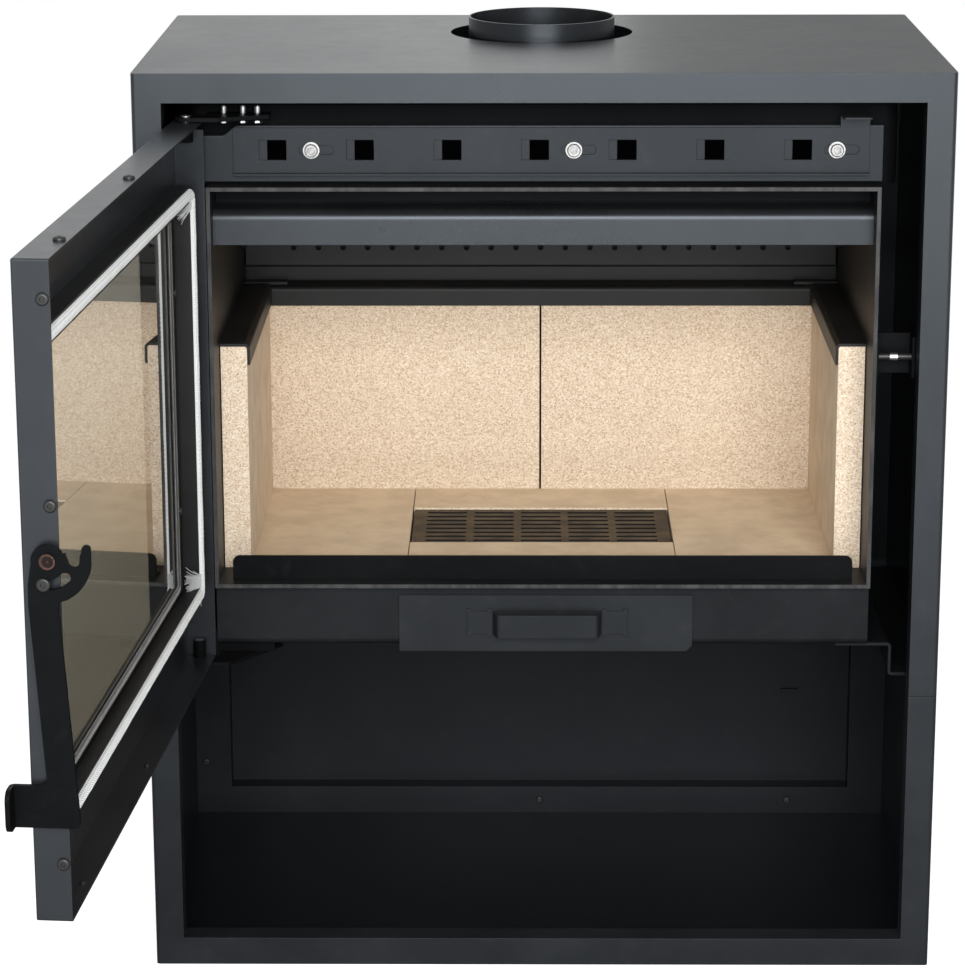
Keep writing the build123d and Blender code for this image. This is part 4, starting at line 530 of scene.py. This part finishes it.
def stitched_loop(name, path, shape, height, material):
    """One stitch's length of tube, shaped by a height over it, repeated along a closed curve.

    shape holds radii across the curve and through it, sides, rings, pitch and unevenness;
    height(turn, step) gives the rise at a share of the way round and of the way along."""
    total = path.data.splines[0].calc_length()
    count = round(total / shape["pitch"])
    length = total / count
    clear_selection()
    sides, rings = shape["sides"], shape["rings"]
    bpy.ops.mesh.primitive_cylinder_add(
        vertices=sides, radius=1.0, depth=length, end_fill_type="NOTHING",
        location=(length / 2, 0.0, 0.0), rotation=(0.0, math.pi / 2, 0.0),
    )
    piece = bpy.context.object
    bpy.ops.object.transform_apply(location=True, rotation=True, scale=True)

    def runs_along(line):
        first, last = (piece.data.vertices[index].co.x for index in line.vertices)
        return abs(first - last) > length / 2

    edit(piece, "EDGE")
    picked(piece.data.edges, runs_along)
    bpy.ops.mesh.subdivide(number_cuts=rings - 1)
    bpy.ops.object.mode_set(mode="OBJECT")
    levels = {}
    for point in piece.data.vertices:
        turn = math.atan2(point.co.z, point.co.y) / (2 * math.pi) % 1.0
        level = round(height(turn, point.co.x / length) * LEVELS)
        levels.setdefault(level, set()).add(point.index)
    for level, members in levels.items():
        edit(piece)
        picked(piece.data.vertices, lambda point: point.index in members)
        rise = 1.0 + level / LEVELS * shape["relief"]
        section = (1.0, rise * shape["across"], rise * shape["through"])
        bpy.ops.transform.resize(value=section, center_override=(0.0, 0.0, 0.0))
        bpy.ops.object.mode_set(mode="OBJECT")
    applied(
        piece, "ARRAY", fit_type="FIXED_COUNT", count=count, use_relative_offset=False,
        use_constant_offset=True, constant_offset_displace=(length, 0.0, 0.0),
        use_merge_vertices=True, merge_threshold=0.00002, offset_v=0.5,
    )
    applied(piece, "CURVE", object=path, deform_axis="POS_X")
    edit(piece)
    bpy.ops.object.mode_set(mode="EDIT")
    bpy.ops.mesh.select_all(action="SELECT")
    bpy.ops.mesh.remove_doubles(threshold=0.00002)
    bpy.ops.mesh.normals_make_consistent(inside=False)
    bpy.ops.object.mode_set(mode="OBJECT")
    clouds = bpy.data.textures.new(name, "CLOUDS")
    clouds.noise_scale = 0.03
    applied(piece, "DISPLACE", texture=clouds, strength=shape["uneven"], mid_level=0.5)
    bpy.data.objects.remove(path)
    upright = Matrix.Translation((0.0, shape["depth"], 0.0)) @ Matrix.Rotation(math.pi / 2, 4, "X")
    piece.matrix_world = door_swing() @ upright
    settled(piece, name, material)
    bpy.ops.object.shade_smooth()
    return piece


def fibre(thick):
    """One thin fibre that tapers and bends towards Y, a unit long and rising along Z."""
    clear_selection()
    bpy.ops.mesh.primitive_circle_add(vertices=FIBRE_SIDES, radius=thick, fill_type="NGON")
    strand = bpy.context.object
    bpy.ops.object.mode_set(mode="EDIT")
    for step in range(4):
        rise = (0.004 * step, 0.025 * (step + 1), 0.25)
        bpy.ops.mesh.extrude_region_move(TRANSFORM_OT_translate={"value": rise})
        bpy.ops.transform.resize(value=(0.82, 0.82, 1.0))
    bpy.ops.mesh.select_all(action="SELECT")
    bpy.ops.mesh.normals_make_consistent(inside=False)
    bpy.ops.object.mode_set(mode="OBJECT")
    return strand


def fibre_bundle(name, bunches, seed, material):
    """Frayed yarn flat on the door; a bunch is (root, direction, length, spread, count)."""
    rng = random.Random(seed)
    strand = fibre(1.0 / FIBRE_SLENDER)
    copies = []
    for root, way, length, spread, count in bunches:
        way = Vector(way).normalized()
        for _ in range(count):
            start = Vector(root) + Vector([rng.uniform(-1, 1) * spread * part for part in SCATTER])
            aim = (way + Vector([rng.uniform(-1, 1) * part for part in SPLAY])).normalized()
            roll = Matrix.Rotation(rng.choice((0.0, math.pi)) + rng.uniform(-0.1, 0.1), 4, "Z")
            turn = aim.to_track_quat("Z", "Y").to_matrix().to_4x4() @ roll
            copy = strand.copy()
            copy.data = strand.data.copy()
            bpy.context.scene.collection.objects.link(copy)
            reach = length * rng.uniform(0.35, 1.0)
            place = door_swing() @ Matrix.Translation(start) @ turn
            copy.matrix_world = place @ Matrix.Scale(reach, 4)
            copies.append(copy)
    bpy.data.objects.remove(strand)
    clear_selection()
    for copy in copies:
        copy.select_set(True)
    bpy.context.view_layer.objects.active = copies[0]
    bpy.ops.object.join()
    return settled(copies[0], name, material)


def dressed(material, *names):
    """Gives CAD nodes a finish."""
    for name in names:
        data = NODES[name].data
        data.materials.clear()
        data.materials.append(material)


# ---------------------------------------------------------------- sizes and colours
class InsertPaint(PropertyGroup):
    casing: FloatVectorProperty(
        name="Casing", description="Colour of the casing's and the door's paint",
        subtype="COLOR", default=(0.0105, 0.0112, 0.0125), min=0.0, max=1.0,
    )
    panels: FloatVectorProperty(
        name="Panels", description="Colour of the air slider, the drawer and the panels",
        subtype="COLOR", default=(0.0100, 0.0106, 0.0116), min=0.0, max=1.0,
    )
    inside: FloatVectorProperty(
        name="Log store", description="Colour of the sheets at the back of the log store",
        subtype="COLOR", default=(0.0048, 0.0050, 0.0055), min=0.0, max=1.0,
    )
    latch: FloatVectorProperty(
        name="Latch", description="Colour of the latch lever and the hinge plates",
        subtype="COLOR", default=(0.0030, 0.0030, 0.0031), min=0.0, max=1.0,
    )
    sheen: FloatProperty(
        name="Roughness", description="Roughness of the casing's paint", subtype="FACTOR",
        default=0.32, min=0.05, max=1.0,
    )


class InsertRope(PropertyGroup):
    half: FloatProperty(
        name="Half width", description="Rope's centre line to the middle of the door",
        unit="LENGTH", default=0.330,
    )
    low: FloatProperty(
        name="Low", description="Height of the lower run", unit="LENGTH", default=0.404,
    )
    high: FloatProperty(
        name="High", description="Height of the upper run", unit="LENGTH", default=0.811,
    )
    depth: FloatProperty(
        name="Depth", description="Place of the rope's centre line, front to back",
        unit="LENGTH", default=-0.2121,
    )
    radius: FloatProperty(
        name="Radius", description="Radius of the rope", unit="LENGTH", default=0.006,
    )
    pitch: FloatProperty(
        name="Stitch", description="Length of one stitch", unit="LENGTH", default=0.0048,
    )
    columns: IntProperty(
        name="Columns", description="Columns of stitches round the rope", default=6, min=3,
    )
    corner: FloatProperty(
        name="Corner", description="Radius of the rope's bends", unit="LENGTH", default=0.0075,
    )


class InsertBraid(PropertyGroup):
    half: FloatProperty(
        name="Half width", description="Braid's middle to the middle of the door",
        unit="LENGTH", default=0.280,
    )
    low: FloatProperty(
        name="Low", description="Height of the lower run", unit="LENGTH", default=0.4225,
    )
    high: FloatProperty(
        name="High", description="Height of the upper run", unit="LENGTH", default=0.7955,
    )
    glass_back: FloatProperty(
        name="Glass", description="Back face of the glass, front to back",
        unit="LENGTH", default=-0.2250,
    )
    width: FloatProperty(
        name="Width", description="Width of the braid", unit="LENGTH", default=0.008,
    )
    height: FloatProperty(
        name="Height", description="Thickness of the braid", unit="LENGTH", default=0.0036,
    )
    pitch: FloatProperty(
        name="Strand", description="Spacing of the strands", unit="LENGTH", default=0.0042,
    )
    tape: FloatProperty(
        name="Tape", description="Thickness of the tape under the glass", unit="LENGTH",
        default=0.0005,
    )


class InsertStage(PropertyGroup):
    fill: FloatProperty(
        name="Fill", description="Power of the large softbox in front", unit="POWER", default=150.0,
    )
    sweep: FloatProperty(
        name="Sweep", description="Power of the low strip far in front", unit="POWER", default=36.0,
    )
    room: FloatProperty(
        name="Room", description="Strength of the room's own light", default=0.30, min=0.0,
    )
    glow: FloatProperty(
        name="Floor", description="Light that the floor adds where it is seen",
        default=0.75, min=0.0,
    )


# ---------------------------------------------------------------- pieces
class CasingOperator(Operator):
    """Paints the casing, the log store, the door and the rails"""

    bl_idname = "insert.casing"
    bl_label = "Casing"

    def execute(self, context):
        colours = context.scene.insert_paint
        colour, sheen = tuple(colours.casing), colours.sheen
        # inside=0.8 paints shade on the casing's inner faces
        paint = sprayed_steel("casing_paint", colour, sheen, gloss=0.42, inside=0.8)
        dressed(paint, "upper_casing", "base_casing", "door_casing", "flue_collar")
        # the deflector's flange above BEND_TOP is painted near black as shade
        lip = sprayed_steel("deflector_paint", colour, sheen, gloss=0.38, top=BEND_TOP)
        dressed(lip, "airwash_deflector")
        # the log store's sheets take a darker colour than the casing: painted shade in its recess
        dim = sprayed_steel("store_paint", tuple(colours.inside), sheen + 0.10, gloss=0.2)
        dressed(dim, "rear_frame", "back_panel", "support_rail_left", "support_rail_right")
        # near black for the air box and the hinge shelf, spacer and bushes: painted shade
        black = sprayed_steel("painted_shade_sheet", (0.0028, 0.0028, 0.0030), 0.62, gloss=0.03, dust=0.05)
        dressed(black, "air_box", "hinge_shelf", "hinge_spacer", "hinge_bushes")
        return {"FINISHED"}


class PanelsOperator(Operator):
    """Paints the air slider, the fixed panels and the ash drawer"""

    bl_idname = "insert.panels"
    bl_label = "Panels"

    def execute(self, context):
        colour = tuple(context.scene.insert_paint.panels)
        paint = sprayed_steel("panel_paint", colour, 0.40, gloss=0.21, dust=0.4, edge=0.0008)
        dressed(paint, "upper_front_panel", "air_slider", "ash_drawer_front", "ash_drawer_handle")
        # the base panel, drawer tray and housing take the panels' colour darkened: painted shade
        dark = tuple(c * 0.7 for c in colour)
        shaded_base = sprayed_steel("base_paint", dark, 0.44, gloss=0.13, dust=0.4)
        dressed(shaded_base, "base_panel", "ash_drawer_tray", "drawer_housing")
        return {"FINISHED"}


class FireboxOperator(Operator):
    """Finishes the firebox plates, caps, baffle and log retainer"""

    bl_idname = "insert.firebox"
    bl_label = "Firebox"

    def execute(self, context):
        steel = fired_steel()
        dressed(fired_steel("firebox_steel", RIM), "firebox_shell")
        dressed(steel, "side_cap_left", "side_cap_right", "back_cap", "secondary_air_duct")
        dressed(steel, "baffle_rail_left", "baffle_rail_right", "rope_channel")
        dressed(vermiculite(), *[name for name in NODES if "brick" in name], "baffle_plate")
        dressed(cast_iron(), "grate")
        return {"FINISHED"}


class FittingsOperator(Operator):
    """Finishes the hinge, the latch and every screw"""

    bl_idname = "insert.fittings"
    bl_label = "Hinge, latch and screws"

    def execute(self, context):
        colour = tuple(context.scene.insert_paint.latch)
        black = sprayed_steel("latch_paint", colour, 0.44, gloss=0.055, edge=0.0008)
        dressed(black, "latch_lever", "hinge_plate_top", "hinge_plate_bottom")
        dressed(black, "latch_bracket", "glass_retainers", "log_retainer")
        zinc = bare_metal("zinc", (0.44, 0.45, 0.46), 0.34)
        dressed(zinc, "hinge_bolts", "hinge_pins", "latch_roller")
        dressed(bare_metal("zinc_screw", (0.25, 0.25, 0.25), 0.42, 0.5), "slider_screws")
        dressed(bare_metal("zinc_washer", (0.34, 0.34, 0.335), 0.46, 0.4), "slider_washers")
        oxide = bare_metal("black_oxide", (0.012, 0.012, 0.012), 0.40, metallic=0.3)
        dressed(oxide, "door_screws", "rear_screws", "retainer_screws", "guide_screw", "latch_pin")
        points = [point.co for point in NODES["lever_pivot"].data.vertices]
        front = min(point.y for point in points)
        face = [point for point in points if point.y < front + 0.0015]
        centre = sum(face, Vector()) / len(face)
        reach = max((point - centre).length for point in face)
        dressed(turned_bronze(centre, reach), "lever_pivot")
        return {"FINISHED"}


class GlassOperator(Operator):
    """Gives the door's pane its glass"""

    bl_idname = "insert.glass"
    bl_label = "Glass"

    def execute(self, context):
        dressed(stove_glass(), "door_glass")
        return {"FINISHED"}


class RopeOperator(Operator):
    """Knits the white sealing rope and frays its ends"""

    bl_idname = "insert.rope"
    bl_label = "Sealing rope"

    def execute(self, context):
        rope = context.scene.insert_rope
        columns = rope.columns

        def chevrons(turn, step):
            column = turn * columns
            across = abs(column % 1.0 - 0.5) * 2
            lap = (step + across * STITCH_SLANT + math.floor(column) * STITCH_STEP) % 1.0
            ridge = 1.0 - (2 * lap - 1) ** 2
            return ridge * (SHOULDER + CREST * (1.0 - abs(across - 0.5) * 2)) - SHOULDER

        shape = {
            "pitch": rope.pitch, "sides": 4 * columns, "rings": 6, "relief": 0.24,
            "across": rope.radius, "through": rope.radius, "depth": rope.depth, "uneven": 0.0007,
        }
        white = ceramic_yarn(columns)
        path = loop_curve(rope.half, rope.low, rope.high, rope.corner)
        piece = stitched_loop("sealing_rope", path, shape, chevrons, white)
        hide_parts("door_rope")
        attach(piece, "door")
        left, back = -rope.half, rope.depth + rope.radius
        x, y = left + 0.0080, back - 0.0030
        bunches = [
            ((x, y, rope.high - 0.011), (0.9, -0.55, -0.15), 0.020, 0.0045, 170),
            ((x, y, rope.low + 0.015), (0.9, -0.60, 0.05), 0.022, 0.0065, 220),
            ((left + 0.006, back - 0.0035, rope.low - 0.005), (0.3, 0.0, -0.8), 0.009, 0.0030, 9),
        ]
        fray = fibre_bundle("rope_fray", bunches, 11, white)
        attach(fray, "door")
        return {"FINISHED"}


class BraidOperator(Operator):
    """Braids the black gasket on the glass and lays the tape under it"""

    bl_idname = "insert.braid"
    bl_label = "Glass gasket"

    def execute(self, context):
        braid = context.scene.insert_braid

        def crossing(turn, step):
            first, second = step + turn * STRANDS, step - turn * STRANDS
            over = (math.floor(first) + math.floor(second)) % 2
            one = math.sqrt(max(0.0, 1 - (2 * (first % 1.0) - 1) ** 2))
            two = math.sqrt(max(0.0, 1 - (2 * (second % 1.0) - 1) ** 2))
            return max(one * (0.45 + 0.55 * over), two * (1.0 - 0.45 * over)) - 0.8

        shape = {
            "pitch": braid.pitch, "sides": 18, "rings": 4, "relief": 0.16, "uneven": 0.0003,
            "across": braid.width / 2, "through": braid.height / 2,
            "depth": braid.glass_back + braid.height / 2,
        }
        path = loop_curve(braid.half, braid.low, braid.high, BRAID_CORNER)
        piece = stitched_loop("glass_braid", path, shape, crossing, glass_braid())
        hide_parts("glass_gasket")
        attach(piece, "door")
        self.lay_tape(braid)
        return {"FINISHED"}

    @staticmethod
    def lay_tape(braid):
        """A thin flat frame between the door's sheet and the glass, its edges eased."""
        reach = braid.width / 2 + 0.002
        wide, tall = 2 * (braid.half + reach), braid.high - braid.low + 2 * reach
        front = braid.glass_back - GLASS - braid.tape
        clear_selection()
        bpy.ops.mesh.primitive_plane_add(size=1.0, rotation=(math.pi / 2, 0.0, 0.0))
        tape = bpy.context.object
        tape.scale = (wide, tall, 1.0)
        tape.location = (0.0, front + braid.tape / 2, (braid.low + braid.high) / 2)
        bpy.ops.object.transform_apply(location=True, rotation=True, scale=True)
        bpy.ops.object.mode_set(mode="EDIT")
        bpy.ops.mesh.select_all(action="SELECT")
        bpy.ops.mesh.inset(thickness=2 * reach - 0.002)
        bpy.ops.mesh.delete(type="FACE")
        bpy.ops.object.mode_set(mode="OBJECT")
        applied(tape, "SOLIDIFY", thickness=braid.tape, offset=0.0)
        applied(tape, "BEVEL", width=braid.tape * 0.3, segments=2)
        tape.matrix_world = door_swing()
        settled(tape, "glass_tape", woven_tape())
        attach(tape, "door")


class StageOperator(Operator):
    """Sets up the pale floor, the soft light and the camera"""

    bl_idname = "insert.stage"
    bl_label = "Stage"

    def execute(self, context):
        stage = context.scene.insert_stage
        self.make_floor(stage.glow)
        self.make_room(context.scene, stage.room)
        self.make_card()
        self.softbox("fill", *FILL_BOX, stage.fill)
        self.softbox("sweep", *SWEEP_BOX, stage.sweep)
        self.make_camera(context.scene)
        context.scene.view_settings.view_transform = "Standard"
        return {"FINISHED"}

    def make_floor(self, glow):
        """A pale floor with light of its own far off, and darker near the object in gloss."""
        clear_selection()
        bpy.ops.mesh.primitive_plane_add(size=FLOOR_SIZE)
        floor = bpy.context.object
        floor.name = "floor"
        pale = Finish("floor_white", specular_ior_level=0.0, roughness=1.0, emission_strength=1.0)
        x, y, _ = pale.axes(pale.place)
        distance = (x * x + y * y) ** 0.5
        seen = self.seen_share(pale, distance.between(*FLOOR_LIT) * 0.98 + 0.02)
        glossy = Value(pale, pale.node("ShaderNodeLightPath").outputs["Is Glossy Ray"])
        shaded = glossy * (1.0 - distance.between(*FLOOR_DIM))
        tone = pale.mixed(shaded, (0.80, 0.80, 0.80), (0.28, 0.28, 0.28))
        light = pale.mixed(seen, (0.0, 0.0, 0.0), (glow,) * 3)
        pale.finished(base_color=tone, emission_color=light)
        floor.data.materials.append(pale.material)

    @staticmethod
    def make_card():
        """A grey card behind on the right, seen in gloss only."""
        clear_selection()
        upright = (math.pi / 2, 0.0, 0.0)
        bpy.ops.mesh.primitive_plane_add(size=1.0, location=CARD_PLACE, rotation=upright)
        card = bpy.context.object
        card.name = "card"
        card.scale = (*CARD_SIZE, 1.0)
        bpy.ops.object.transform_apply(location=True, rotation=True, scale=True)
        dark, white = (0.05, 0.05, 0.05, 1.0), (1.0, 1.0, 1.0, 1.0)
        grey = Finish(
            "card_grey", base_color=dark, roughness=1.0,
            emission_color=white, emission_strength=CARD_LIGHT,
        )
        card.data.materials.append(grey.material)
        card.visible_camera = card.visible_diffuse = False
        card.visible_transmission = card.visible_shadow = False

    @staticmethod
    def seen_share(finish, mirrored=1.0):
        """1 for what the camera sees, directly or through glass; in a mirror a given share."""
        path = finish.node("ShaderNodeLightPath").outputs
        camera, glossy, through = [
            Value(finish, path[f"Is {kind} Ray"]) for kind in ("Camera", "Glossy", "Transmission")
        ]
        return (camera + glossy * mirrored + through).clamped()

    def make_room(self, scene, strength):
        scene.world = bpy.data.worlds.new("room")
        scene.world.use_nodes = True
        room = Nodes(scene.world.node_tree)
        background = room.tree.nodes["Background"]
        seen = self.seen_share(room)
        room.fill(background.inputs["Color"], room.mixed(seen, (strength,) * 3, (1.0, 1.0, 1.0)))

    @staticmethod
    def softbox(name, place, target, width, height, power):
        light = bpy.data.lights.new(name, "AREA")
        light.shape = "RECTANGLE"
        light.size, light.size_y, light.energy = width, height, power
        lamp = bpy.data.objects.new(name, light)
        bpy.context.scene.collection.objects.link(lamp)
        lamp.location = place
        lamp.rotation_euler = (Vector(target) - Vector(place)).to_track_quat("-Z", "Y").to_euler()
        lamp.visible_camera = False

    @staticmethod
    def make_camera(scene):
        pitch, yaw, roll = (math.radians(angle) for angle in CAMERA_ANGLES)
        flat = math.cos(pitch)
        ahead = Vector((math.sin(yaw) * flat, math.cos(yaw) * flat, -math.sin(pitch)))
        right = Vector((math.cos(yaw), -math.sin(yaw), 0.0))
        up = right.cross(ahead)
        level, plumb = right, up
        right = level * math.cos(roll) + plumb * math.sin(roll)
        up = plumb * math.cos(roll) - level * math.sin(roll)
        data = bpy.data.cameras.new("camera")
        data.lens, data.sensor_width = CAMERA_LENS, 36.0
        camera = bpy.data.objects.new("camera", data)
        scene.collection.objects.link(camera)
        turn = Matrix((right, up, -ahead)).transposed().to_4x4()
        camera.matrix_world = Matrix.Translation(CAMERA_PLACE) @ turn
        scene.camera = camera


# ---------------------------------------------------------------- panel
OPERATORS = [
    CasingOperator,
    PanelsOperator,
    FireboxOperator,
    FittingsOperator,
    GlassOperator,
    RopeOperator,
    BraidOperator,
    StageOperator,
]
GROUPS = {
    "insert_paint": InsertPaint,
    "insert_rope": InsertRope,
    "insert_braid": InsertBraid,
    "insert_stage": InsertStage,
}


class InsertPanel(Panel):
    """Lists the pieces of the insert and their sizes"""

    bl_idname = "VIEW3D_PT_insert"
    bl_label = "Fireplace insert"
    bl_space_type = "VIEW_3D"
    bl_region_type = "UI"
    bl_category = "Insert"

    def draw(self, context):
        for name, group in GROUPS.items():
            box = self.layout.box()
            for key in group.__annotations__:
                box.prop(getattr(context.scene, name), key)
        for operator in OPERATORS:
            self.layout.operator(operator.bl_idname)


def register():
    for cls in [*GROUPS.values(), *OPERATORS, InsertPanel]:
        bpy.utils.register_class(cls)
    for name, group in GROUPS.items():
        setattr(bpy.types.Scene, name, PointerProperty(type=group))


def unregister():
    for name in GROUPS:
        delattr(bpy.types.Scene, name)
    for cls in reversed([*GROUPS.values(), *OPERATORS, InsertPanel]):
        bpy.utils.unregister_class(cls)


def main():
    register()
    for operator in OPERATORS:
        group, name = operator.bl_idname.split(".")
        getattr(getattr(bpy.ops, group), name)()


if __name__ == "__main__":
    main()
